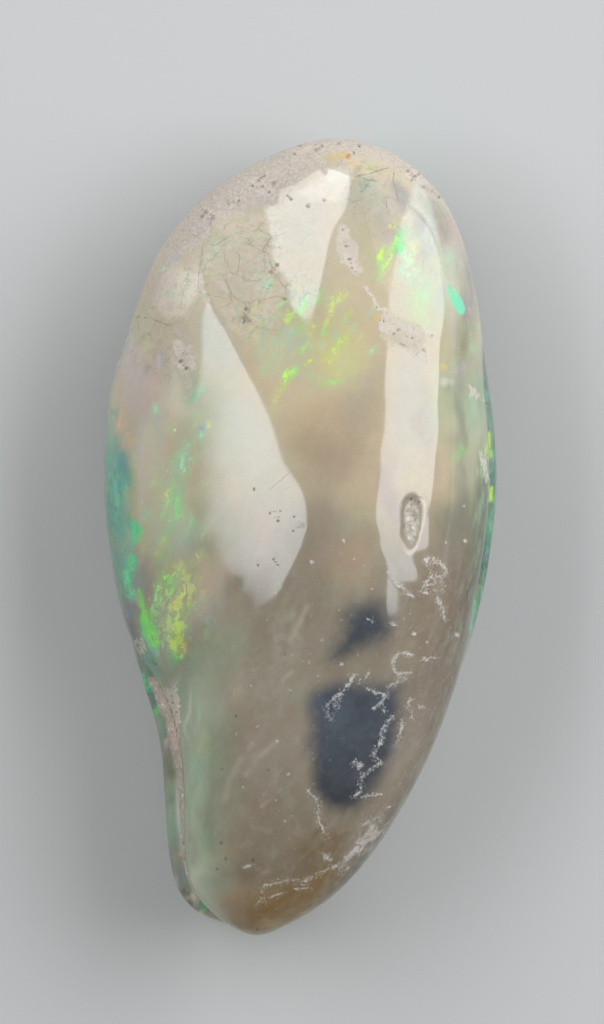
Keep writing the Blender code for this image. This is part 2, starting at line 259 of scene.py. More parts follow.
TRIM_X, TRIM_Y = _gx.ravel()[_inside], _gy.ravel()[_inside]


def trims(x, y):
    x, y = np.asarray(x, float), np.asarray(y, float)
    fade = ease_step(0.0, .25, 1 - spread_squared(x, y))
    d2 = (x[..., None] - TRIM_X) ** 2 + (y[..., None] - TRIM_Y) ** 2
    return np.exp(-d2 / (2 * TRIM_SPREAD ** 2)) * fade[..., None]


def spaced(points, step=14.0):
    out = []
    for a, b in zip(points[:-1], points[1:]):
        n = max(1, round(math.hypot(b[0] - a[0], b[1] - a[1]) / step))
        out += [(a[0] + (b[0] - a[0]) * k / n, a[1] + (b[1] - a[1]) * k / n) for k in range(n)]
    return out + [points[-1]]


def trim_sizes():
    ends = [(x, y, kind) for kind, line in HIGHLIGHT_ENDS for x, y in spaced(line)]
    at = np.array([e[:2] for e in ends])
    sizes = np.zeros(len(TRIM_X))
    x, y = (at[:, 0] - 302) * PER_PX + CAM_X, (512 - at[:, 1]) * PER_PX + CAM_Y
    for _ in range(3):
        def shape(a, b):
            return front_face(a, b) + trims(a, b) @ sizes
        for _ in range(3):
            z = shape(x, y)
            k = (CAM_Z - z) / 900.0 * PER_PX
            x, y = (at[:, 0] - 302) * k + CAM_X, (512 - at[:, 1]) * k + CAM_Y
        tx, ty = slope_of(trims, x, y, "x", .02), slope_of(trims, x, y, "y", .02)
        p, q = slope_of(shape, x, y, "x", .02), slope_of(shape, x, y, "y", .02)
        rows, wanted = [], []
        for i, (_, _, kind) in enumerate(ends):
            if kind == "low":
                t = (PANEL_LOW - y[i]) / (PANEL_Z - z[i])
                slope = (1 - math.sqrt(1 + t * t * (1 - p[i] ** 2))) / t - (CAM_Y - y[i]) / 1800
                rows.append(ty[i])
                wanted.append(slope - q[i] + ty[i] @ sizes)
            else:
                edge = {"left": -PANEL_NEAR, "right": PANEL_NEAR, "far": PANEL_FAR}[kind]
                t = (edge - x[i]) / (PANEL_Z - z[i])
                slope = (1 - math.sqrt(1 + t * t * (1 - q[i] ** 2))) / t - (CAM_X - x[i]) / 1800
                rows.append(tx[i])
                wanted.append(slope - p[i] + tx[i] @ sizes)
        for cx, cy, axis, slope, firm in HOLDS:
            hx, hy = np.array((cx - 302) * .0573 + CAM_X), np.array((512 - cy) * .0573 + CAM_Y)
            rows.append(firm * slope_of(trims, hx, hy, "xy"[axis], .02))
            wanted.append(0.0 if slope is None else firm * (slope - float(slope_of(front_face, hx, hy, "xy"[axis]))))
        a = np.concatenate([rows, .20 * slope_of(trims, TRIM_X, TRIM_Y, "x", .02), .20 * slope_of(trims, TRIM_X, TRIM_Y, "y", .02)])
        b = np.concatenate([wanted, np.zeros(2 * len(TRIM_X))])
        sizes = np.linalg.solve(a.T @ a + .04 ** 2 * np.eye(len(TRIM_X)), a.T @ b)
    return sizes


TRIM_SIZES = trim_sizes()


camera = bpy.data.objects.new("camera", bpy.data.cameras.new("camera"))
bpy.context.scene.collection.objects.link(camera)
camera.data.sensor_width = 36.0
camera.data.lens = 36.0 * 900.0 / VIEW_HEIGHT
camera.data.clip_start, camera.data.clip_end = 0.05, 10.0
camera.location = (CAM_X * MM, CAM_Y * MM, CAM_Z * MM)
camera.rotation_euler = (0.0, 0.0, 0.0)
bpy.context.scene.camera = camera


# ===================================================================== noise
def hashed(ix, iy, iz, seed):
    big = np.uint64(0xFFFFFFFF)
    h = (ix.astype(np.int64).astype(np.uint64) * np.uint64(374761393)
         + iy.astype(np.int64).astype(np.uint64) * np.uint64(668265263)
         + iz.astype(np.int64).astype(np.uint64) * np.uint64(1440662683)
         + np.uint64(seed * 974634777 + 12345)) & big
    h = ((h ^ (h >> np.uint64(13))) * np.uint64(1274126177)) & big
    h = ((h ^ (h >> np.uint64(16))) * np.uint64(2246822519)) & big
    return ((h ^ (h >> np.uint64(15))) & np.uint64(0xFFFFFF)).astype(float) / 0xFFFFFF


def noise(p, size, seed=0):
    """Smooth noise from 0 to 1 with features of about the given size."""
    q = p / size + 1000.0
    base = np.floor(q)
    f = q - base
    f = f * f * f * (f * (f * 6 - 15) + 10)
    out = 0.0
    for dx in (0, 1):
        for dy in (0, 1):
            for dz in (0, 1):
                w = ((f[..., 0] if dx else 1 - f[..., 0]) * (f[..., 1] if dy else 1 - f[..., 1])
                     * (f[..., 2] if dz else 1 - f[..., 2]))
                out = out + w * hashed(base[..., 0] + dx, base[..., 1] + dy, base[..., 2] + dz, seed)
    return out


def layered(p, size, octaves=4, seed=0):
    out, total, weight = 0.0, 0.0, 1.0
    for k in range(octaves):
        out = out + weight * noise(p, size / 2 ** k, seed + 17 * k)
        total += weight
        weight *= 0.55
    return out / total


def grains(p, size, seed=0):
    """Distance to the nearest grain's middle (0 to about 1) and that grain's own number."""
    q = p / size + 1000.0
    base = np.floor(q)
    best = np.full(q.shape[:-1], 9.0)
    tag = np.zeros(q.shape[:-1])
    for dx in (-1, 0, 1):
        for dy in (-1, 0, 1):
            for dz in (-1, 0, 1):
                c = base + (dx, dy, dz)
                jx, jy, jz = (hashed(c[..., 0], c[..., 1], c[..., 2], seed + s) for s in (1, 2, 3))
                d = ((q[..., 0] - c[..., 0] - jx) ** 2 + (q[..., 1] - c[..., 1] - jy) ** 2
                     + (q[..., 2] - c[..., 2] - jz) ** 2)
                near = d < best
                best = np.where(near, d, best)
                tag = np.where(near, hashed(c[..., 0], c[..., 1], c[..., 2], seed + 4), tag)
    return np.sqrt(best), tag


# ============================================================= paint helpers
def tone(r, g, b):
    """Linear colour from display values of 0 to 255."""
    c = np.array((r, g, b), float) / 255.0
    return np.where(c <= 0.04045, c / 12.92, ((c + 0.055) / 1.055) ** 2.4)


TONES = {name: tone(*value) for name, value in {
    "beige": (190, 178, 152), "cream": (212, 204, 186), "rosy": (206, 192, 180), "bone": (208, 196, 186),
    "fawn": (184, 168, 142), "tan": (176, 162, 140), "amber": (188, 164, 120), "honey": (170, 142, 92),
    "smoke": (142, 133, 118), "mauve_grey": (140, 130, 122), "umber": (124, 112, 94), "olive": (122, 106, 78),
    "sage": (172, 180, 150), "grey_green": (142, 147, 128), "sea_grey": (140, 156, 134),
    "mint": (160, 226, 186), "pale_mint": (178, 200, 168), "glass": (132, 164, 140), "teal": (78, 156, 142),
    "deep_teal": (60, 112, 110), "aqua": (96, 206, 184), "spring_aqua": (112, 232, 188), "pale_lime": (196, 222, 132), "jade": (64, 208, 142), "green": (104, 212, 88),
    "vivid": (112, 234, 72), "lime": (186, 232, 84), "pear": (206, 216, 134), "spring": (134, 240, 124),
    "yellow": (228, 226, 98), "orange": (232, 164, 100), "peach": (200, 172, 140), "pink": (214, 172, 162),
    "lilac": (190, 178, 204), "violet": (132, 130, 152), "blue": (104, 132, 214), "slate": (66, 72, 85),
    "ink": (56, 61, 75), "steel": (96, 106, 116), "plum": (92, 82, 92), "white": (236, 230, 222),
    "ochre": (206, 176, 106), "rust": (150, 84, 54), "dark": (74, 58, 50), "maroon": (100, 52, 50),
    "ash": (176, 172, 160), "chalk": (222, 214, 204), "clay": (112, 80, 14), "milk": (212, 224, 222), "putty": (150, 146, 132), "hairline": (150, 150, 130), "mouse": (126, 116, 104)}.items()}
# the studio light is a little cool, so the stone is a little warmer than it looks
WARM = np.array((1.095, 1.005, .915))


def segment_distance(px, py, a, b):
    ax, ay, bx, by = a[0], a[1], b[0], b[1]
    ux, uy = bx - ax, by - ay
    size = max(math.hypot(ux, uy), 1e-6)
    t = np.clip(((px - ax) * ux + (py - ay) * uy) / size ** 2, 0, 1)
    d = np.hypot(px - ax - t * ux, py - ay - t * uy)
    side = ((px - ax) * uy - (py - ay) * ux) / size
    return d, np.where(side < 0, -d, d)


def path_distance(px, py, points):
    """Plain and signed distance to a line through the points, in picture units."""
    best, signed = np.full(px.shape, 1e3), np.full(px.shape, 1e3)
    if len(points) == 1:
        d = np.hypot(px - points[0][0], py - points[0][1])
        return d, d
    for a, b in zip(points[:-1], points[1:]):
        d, s = segment_distance(px, py, a, b)
        near = d < best
        best, signed = np.where(near, d, best), np.where(near, s, signed)
    return best, signed


def oval(px, py, cx, cy, rx, ry, turn=0.0):
    """1 on the oval's edge, less inside."""
    c, s = math.cos(math.radians(turn)), math.sin(math.radians(turn))
    dx, dy = px - cx, py - cy
    return np.hypot((dx * c + dy * s) / rx, (-dx * s + dy * c) / ry)


def polygon(px, py, points):
    """Signed distance to a closed outline, negative inside."""
    best = np.full(px.shape, 1e3)
    inside = np.zeros(px.shape, bool)
    for a, b in zip(points, points[1:] + points[:1]):
        best = np.minimum(best, segment_distance(px, py, a, b)[0])
        crosses = (a[1] > py) != (b[1] > py)
        at = (b[0] - a[0]) * (py - a[1]) / ((b[1] - a[1]) or 1e-9) + a[0]
        inside ^= crosses & (px < at)
    return np.where(inside, -best, best)


def brush(colour, onto, amount):
    onto += (colour - onto) * np.clip(amount, 0, 1)[..., None]


# =============================================================== mesh helpers
def grid_on_disk(nu, nv):
    """An even net of points on a round disk: distance from the middle, and angle."""
    u, v = np.meshgrid(np.linspace(-1, 1, nu + 1), np.linspace(-1, 1, nv + 1), indexing="ij")
    x, y = u * np.sqrt(1 - v * v / 2), v * np.sqrt(1 - u * u / 2)
    return np.hypot(x, y), np.arctan2(20.0 * y, 11.0 * x)


_t = np.linspace(0, np.pi / 2, 3000)
_arc = np.concatenate([[0.0], np.cumsum(np.hypot(15.0 * np.cos(_t[1:]), 9.5 * np.sin(_t[1:])))])


def even_reach(rho):
    return np.sin(np.interp(rho, _arc / _arc[-1], _t))


def grid_normals(p):
    n = np.cross(np.gradient(p, axis=0), np.gradient(p, axis=1))
    size = np.linalg.norm(n, axis=-1, keepdims=True)
    return n / np.maximum(size, 1e-9)


def edge_loop(nu, nv):
    """Rim points of the net in turn, anticlockwise as seen from above."""
    w = nv + 1
    return np.concatenate([np.arange(nu) * w, nu * w + np.arange(nv),
                           np.arange(nu, 0, -1) * w + nv, np.arange(nv, 0, -1)])


def shell(name, net, rings, centre, downward=False):
    """A closed piece: a net, rings that follow on from its rim, and a fan."""
    nu, nv = net.shape[0] - 1, net.shape[1] - 1
    w = nv + 1
    i, j = np.meshgrid(np.arange(nu), np.arange(nv), indexing="ij")
    a = (i * w + j).ravel()
    quads = [np.stack([a, a + w, a + w + 1, a + 1], -1)]
    loops = [edge_loop(nu, nv)]
    start = (nu + 1) * w
    n = len(loops[0])
    for k in range(len(rings)):
        loops.append(start + k * n + np.arange(n))
    for upper, lower in zip(loops[:-1], loops[1:]):
        quads.append(np.stack([upper, lower, np.roll(lower, -1), np.roll(upper, -1)], -1))
    quads = np.concatenate(quads)
    end = start + len(rings) * n
    fan = np.stack([np.roll(loops[-1], -1), loops[-1], np.full(n, end)], -1)
    if downward:
        quads, fan = quads[:, ::-1], fan[:, ::-1]
    points = np.concatenate([net.reshape(-1, 3)] + list(rings) + [np.array([centre])])
    return make_mesh(name, points, quads, fan)


def make_mesh(name, points, quads, tris=None):
    mesh = bpy.data.meshes.new(name)
    nq, nt = len(quads), 0 if tris is None else len(tris)
    corners = np.concatenate([quads.ravel()] + ([tris.ravel()] if nt else []))
    mesh.vertices.add(len(points))
    mesh.vertices.foreach_set("co", (points * MM).astype(np.float32).ravel())
    mesh.loops.add(len(corners))
    mesh.loops.foreach_set("vertex_index", corners.astype(np.int32))
    mesh.polygons.add(nq + nt)
    starts = np.concatenate([np.arange(nq) * 4, nq * 4 + np.arange(nt) * 3])
    mesh.polygons.foreach_set("loop_start", starts.astype(np.int32))
    mesh.update(calc_edges=True)
    mesh.validate()
    mesh.shade_smooth()
    piece = bpy.data.objects.new(name, mesh)
    bpy.context.scene.collection.objects.link(piece)
    return piece


def put_number(piece, name, values):
    data = piece.data.attributes.new(name, "FLOAT", "POINT").data
    data.foreach_set("value", np.asarray(values, np.float32).ravel())


def put_colour(piece, name, values):
    data = piece.data.attributes.new(name, "FLOAT_COLOR", "POINT").data
    full = np.ones((len(values), 4), np.float32)
    full[:, :3] = values
    data.foreach_set("color", full.ravel())


def put_vector(piece, name, values):
    data = piece.data.attributes.new(name, "FLOAT_VECTOR", "POINT").data
    data.foreach_set("vector", np.asarray(values, np.float32).ravel())


# ======================================================= surface marks, front
# All in the 604 by 1024 frame.
# rough rock: strength, half width, points
ROCK = [
    (.74, 7, [(344, 234), (348, 250), (355, 270)]), (.60, 4, [(348, 236), (344, 262)]),
    (.70, 3, [(366, 290), (374, 302), (380, 312)]),
    (.74, 9, [(386, 322), (400, 328), (414, 334)]), (.66, 8, [(402, 338), (414, 346), (424, 358)]), (.52, 5, [(384, 336), (392, 344)]),
    (.60, 4, [(420, 326), (430, 334)]), (.56, 4, [(384, 312), (388, 320)]),
    (.75, 6, [(178, 346), (184, 366)]), (.70, 5, [(188, 348), (192, 372)]),
    (.70, 4, [(471, 387), (478, 398)]), (.70, 3, [(483, 456), (486, 478)]),
    (.62, 6, [(358, 846), (368, 840), (376, 830)]), (.60, 4, [(346, 858), (352, 852)]),
    (.72, 5, [(137, 641), (138, 655)]), (.72, 4, [(325, 856), (326, 858)]),
    (.62, 6, [(205, 212), (214, 216)]), (.60, 6, [(256, 182), (268, 192)]),
    (.60, 5, [(292, 150), (318, 146)]), (.66, 4, [(410, 172), (424, 184)])]
# a dusting of fine pale grains: strength, half width, points
DUST = [
    (1.0, 19, [(176, 240), (206, 208), (246, 180), (286, 160)]), (1.0, 12, [(286, 160), (312, 150), (338, 144)]),
    (.9, 8, [(330, 146), (372, 148), (404, 162), (432, 186)]),
    (.75, 16, [(196, 222), (236, 198), (276, 180)]), (.85, 7, [(284, 182), (300, 174), (316, 166)]),
    (.40, 6, [(292, 190), (310, 184)]), (.30, 8, [(346, 232), (350, 252), (358, 276)]),
    (.36, 10, [(384, 322), (404, 330), (424, 346)]), (.25, 7, [(360, 282), (372, 300), (384, 318)]),
    (.6, 14, [(168, 252), (152, 284)]), (.5, 10, [(440, 200), (462, 250), (476, 300)]),
    (.6, 9, [(181, 330), (186, 360), (190, 392)]), (.5, 10, [(362, 846), (380, 826)])]
# splits in the skin: half width, points
CRACKS = [
    (.8, [(212, 216), (210, 224), (213, 231), (209, 242)]), (.7, [(239, 199), (238, 206), (241, 211)]),
    (.8, [(184, 230), (192, 234), (203, 240)]), (1.0, [(135, 317), (151, 318), (159, 322), (169, 325)]),
    (.8, [(357, 176), (368, 174), (380, 170), (395, 166)]), (.8, [(394, 167), (393, 180), (396, 190), (398, 200)]),
    (.6, [(386, 197), (387, 211)]), (.6, [(289, 473), (281, 480), (269, 490)]),
    (.6, [(294, 484), (286, 489)]), (.6, [(203, 240), (202, 256), (199, 272), (198, 288)]),
    (.6, [(245, 242), (258, 249), (268, 253)]), (.6, [(203, 241), (214, 246), (226, 238), (238, 234)]),
    (.5, [(250, 262), (262, 252), (268, 240), (284, 233)]), (.6, [(198, 292), (212, 296), (228, 298)]),
    (.5, [(228, 262), (226, 280), (232, 296), (246, 304)]), (.5, [(262, 300), (276, 296), (288, 298)]),
    (.5, [(268, 254), (272, 270), (284, 286), (290, 300)]), (.5, [(232, 246), (240, 256), (238, 272)]),
    (1.1, [(401, 503), (405, 498), (411, 499), (416, 496), (422, 498)]), (.8, [(358, 176), (366, 180), (376, 181)])]
# white bruises: half width, points
BRUISES = [
    (1.3, [(425, 561), (429, 557), (434, 558), (435, 563), (430, 565), (425, 561)]),
    (1.6, [(439, 562), (444, 566), (447, 573)]),
    (1.1, [(431, 576), (425, 585), (437, 584), (431, 576)]), (1.1, [(422, 592), (426, 593)]),
    (1.5, [(435, 590), (439, 600), (443, 609), (445, 618)]),
    (1.2, [(389, 573), (397, 585), (406, 592), (412, 596)]),
    (1.2, [(428, 566), (432, 572), (438, 576)]), (1.0, [(440, 577), (443, 588)]),
    (1.0, [(369, 620), (373, 621)]), (1.0, [(392, 624), (395, 625)]),
    (1.2, [(412, 655), (404, 653), (397, 655), (393, 660), (393, 668), (397, 674), (409, 673)]),
    (.9, [(389, 685), (397, 683), (405, 679)]), (1.2, [(423, 660), (427, 659)]),
    (1.0, [(432, 658), (435, 658)]),
    (1.3, [(355, 674), (348, 685), (340, 694), (331, 701), (326, 707), (327, 714), (331, 719)]),
    (1.0, [(334, 703), (338, 701), (339, 705), (335, 706)]),
    (1.3, [(368, 689), (376, 693), (386, 695), (382, 702), (374, 708)]),
    (1.0, [(382, 702), (384, 710)]), (1.0, [(369, 673), (366, 679), (360, 683)]),
    (1.5, [(392, 717), (386, 725), (381, 734), (382, 741), (376, 749), (373, 754), (380, 762)]),
    (1.4, [(380, 762), (366, 774), (360, 777), (361, 791), (354, 797)]),
    (1.5, [(354, 764), (361, 764)]), (1.2, [(357, 761), (358, 768)]),
    (1.1, [(364, 797), (372, 795), (380, 794)]),
    (1.2, [(402, 722), (400, 734), (396, 746)]), (1.3, [(410, 698), (408, 705), (411, 711)]),
    (.9, [(412, 717), (413, 719)]), (.9, [(420, 706), (422, 707)]),
    (.8, [(309, 791), (318, 802), (318, 820), (327, 836)]),
    (1.2, [(264, 885), (275, 883), (289, 880), (305, 881)]),
    (1.4, [(305, 881), (317, 875), (328, 869), (341, 865), (354, 852), (364, 843)]),
    (1.1, [(364, 825), (374, 819), (381, 816)]), (1.0, [(385, 809), (389, 807)]),
    (1.0, [(323, 856), (326, 854), (329, 857), (326, 860), (323, 856)]),
    (1.2, [(246, 867), (252, 865)]), (1.2, [(258, 903), (262, 899)]),
    (.9, [(270, 897), (282, 893)]), (.9, [(296, 889), (310, 888)]),
    (1.0, [(340, 872), (348, 868)]), (1.0, [(262, 892), (266, 903)]),
]
# thin scratches
SCRATCHES = [
    (.5, [(225, 806), (238, 787), (251, 767)]), (.5, [(262, 796), (290, 758)]), (.4, [(300, 860), (330, 826)]),
    (.4, [(301, 622), (318, 596)]), (.5, [(190, 752), (196, 724)]), (.4, [(400, 640), (424, 612)])]
# pinholes and specks: tone, radius, x, y
SPECKS = [
    ("dark", 1.6, 221, 843), ("dark", 1.5, 226, 859), ("maroon", 1.2, 217, 869), ("dark", 1.3, 253, 860),
    ("dark", 1.1, 262, 895), ("dark", 1.2, 257, 930), ("dark", 1.3, 222, 769), ("dark", 1.0, 240, 779),
    ("dark", 1.2, 285, 654), ("dark", 1.4, 155, 664), ("bone", 1.4, 277, 741), ("bone", 1.2, 288, 774),
    ("ash", 1.4, 285, 821), ("ash", 1.3, 243, 787), ("white", 1.5, 312, 562), ("white", 1.2, 344, 541),
    ("bone", 1.0, 354, 559), ("bone", .9, 364, 565), ("bone", 1.1, 372, 589), ("bone", .9, 339, 610),
    ("ash", 1.2, 358, 655), ("white", 1.2, 342, 664), 
    ("ash", 1.3, 309, 662), 
    ("white", 1.3, 414, 634),
    ("white", 1.5, 457, 635), ("bone", 1.1, 427, 642), ("ash", 1.2, 322, 640),
    ("steel", 1.2, 330, 760), ("ash", 1.1, 276, 800), ("ash", 1.1, 318, 676),
    ("dark", 2.0, 181, 361), ("dark", 1.8, 186, 368), ("dark", 1.3, 202, 217), ("rust", 1.2, 214, 216),
    ("dark", 1.3, 259, 180), ("maroon", 1.3, 269, 192), ("dark", 1.5, 291, 199), ("maroon", 1.5, 295, 154),
    ("dark", 1.3, 239, 201), ("dark", 1.3, 322, 146), ("rust", 1.2, 339, 144), ("dark", 1.4, 359, 146),
    ("rust", 2.0, 348, 156), ("dark", 1.8, 415, 176), ("dark", 1.6, 439, 197), ("rust", 1.8, 408, 171),
    ("maroon", 1.6, 350, 259), ("ochre", 3.6, 377, 318), ("ochre", 4.2, 444, 367), ("rust", 2.2, 271, 272),
    ("maroon", 1.6, 277, 265), ("dark", 1.6, 246, 309), ("rust", 1.5, 285, 299), ("dark", 1.4, 244, 322),
    ("white", 1.3, 175, 430), ("bone", 1.3, 167, 471), ("bone", 1.2, 142, 502), ("blue", 1.2, 201, 428),
    ("pear", 1.4, 209, 426), ("blue", 1.4, 130, 614), 
    ("ash", 2.6, 302, 525), ("dark", 1.3, 254, 489), ("dark", 1.2, 270, 513), ("dark", 1.2, 280, 511),
    ("dark", 1.2, 278, 521), ("dark", 1.2, 293, 531), ("dark", 1.1, 294, 517), ("dark", 1.2, 274, 559),
    ("dark", 1.1, 278, 565), ("dark", 1.1, 258, 565), 
    ("dark", 1.6, 363, 833), ("dark", 1.6, 360, 846), ("dark", 2.2, 138, 645), ("dark", 1.5, 331, 711),
    ("teal", 1.6, 367, 186), ("teal", 1.5, 362, 191), ("pink", 2.0, 322, 349), ("pink", 1.8, 489, 458),
    ("ochre", 4.0, 346, 155), ("ochre", 3.4, 337, 156), ("ochre", 3.0, 330, 157), ("dark", 1.3, 354, 153),
    ("mouse", 2.0, 206, 212), ("mouse", 2.2, 213, 218), ("mouse", 1.8, 228, 203), ("mouse", 2.0, 262, 187),
    ("mouse", 2.0, 274, 183), ("mouse", 1.8, 299, 145), ("mouse", 2.0, 316, 150), ("mouse", 2.0, 324, 200),
    ("maroon", 1.2, 253, 186), ("maroon", 1.2, 264, 176), ("dark", 1.2, 288, 196), ("mouse", 2.2, 308, 206),
    ("mouse", 1.6, 412, 180), ("mouse", 1.8, 424, 187), ("mouse", 1.6, 432, 191), ("rust", 1.4, 419, 174),
    ("white", 1.3, 409, 506), ("white", 1.5, 408, 518), ("white", 1.2, 413, 528), ("white", 1.2, 409, 538), ("bone", 1.2, 417, 510),
    ("dark", 1.2, 411, 499), ("dark", 1.1, 419, 502), ("mouse", 1.6, 414, 516), ("mouse", 1.4, 404, 526), ("mouse", 1.4, 414, 537),
    ("white", 1.4, 465, 541), ("bone", 1.3, 446, 542), ("bone", 1.3, 464, 506),
    ("maroon", 1.1, 346, 246), ("dark", 1.0, 352, 268), ("mouse", 1.5, 398, 330), ("dark", 1.0, 412, 338), ("mouse", 1.4, 424, 350),
    ("maroon", 1.1, 168, 686), ("maroon", 1.2, 172, 696), ("dark", 1.2, 173, 703), ("maroon", 1.1, 176, 712), ("dark", 1.0, 174, 720),
    ("maroon", 1.0, 178, 728), ("dark", 1.0, 180, 744), ("white", 1.2, 176, 690), ("white", 1.2, 179, 706), ("white", 1.0, 180, 722),
    ("mouse", 2.6, 245, 318), ("mouse", 1.8, 250, 321), ("dark", 1.1, 310, 746), ("dark", 1.0, 268, 770), ("dark", 1.1, 236, 716),
]
# dips with real depth: x, y, radius, depth in millimetres
DIPS = [
    (254, 489, 4.0, .030), (271, 513, 4.5, .035), (280, 512, 4.0, .030), (278, 521, 4.0, .030),
    (293, 531, 4.5, .035), (302, 525, 6.0, .040), (294, 517, 3.5, .025), (274, 560, 4.5, .035),
    (258, 565, 4.0, .030), 
    (181, 361, 6.0, .120), (187, 368, 5.0, .100), (363, 833, 5.0, .090), (360, 846, 5.0, .090),
    (138, 645, 6.0, .160), (331, 711, 5.0, .060), (221, 843, 4.0, .060), (226, 859, 4.0, .050),
    (350, 259, 6.0, .080), (415, 176, 5.0, .080), (439, 197, 4.0, .060), (246, 309, 4.0, .040),
    (202, 217, 4.0, .050), (155, 664, 4.5, .080), (430, 562, 5.0, .040), (431, 581, 5.0, .040),
]
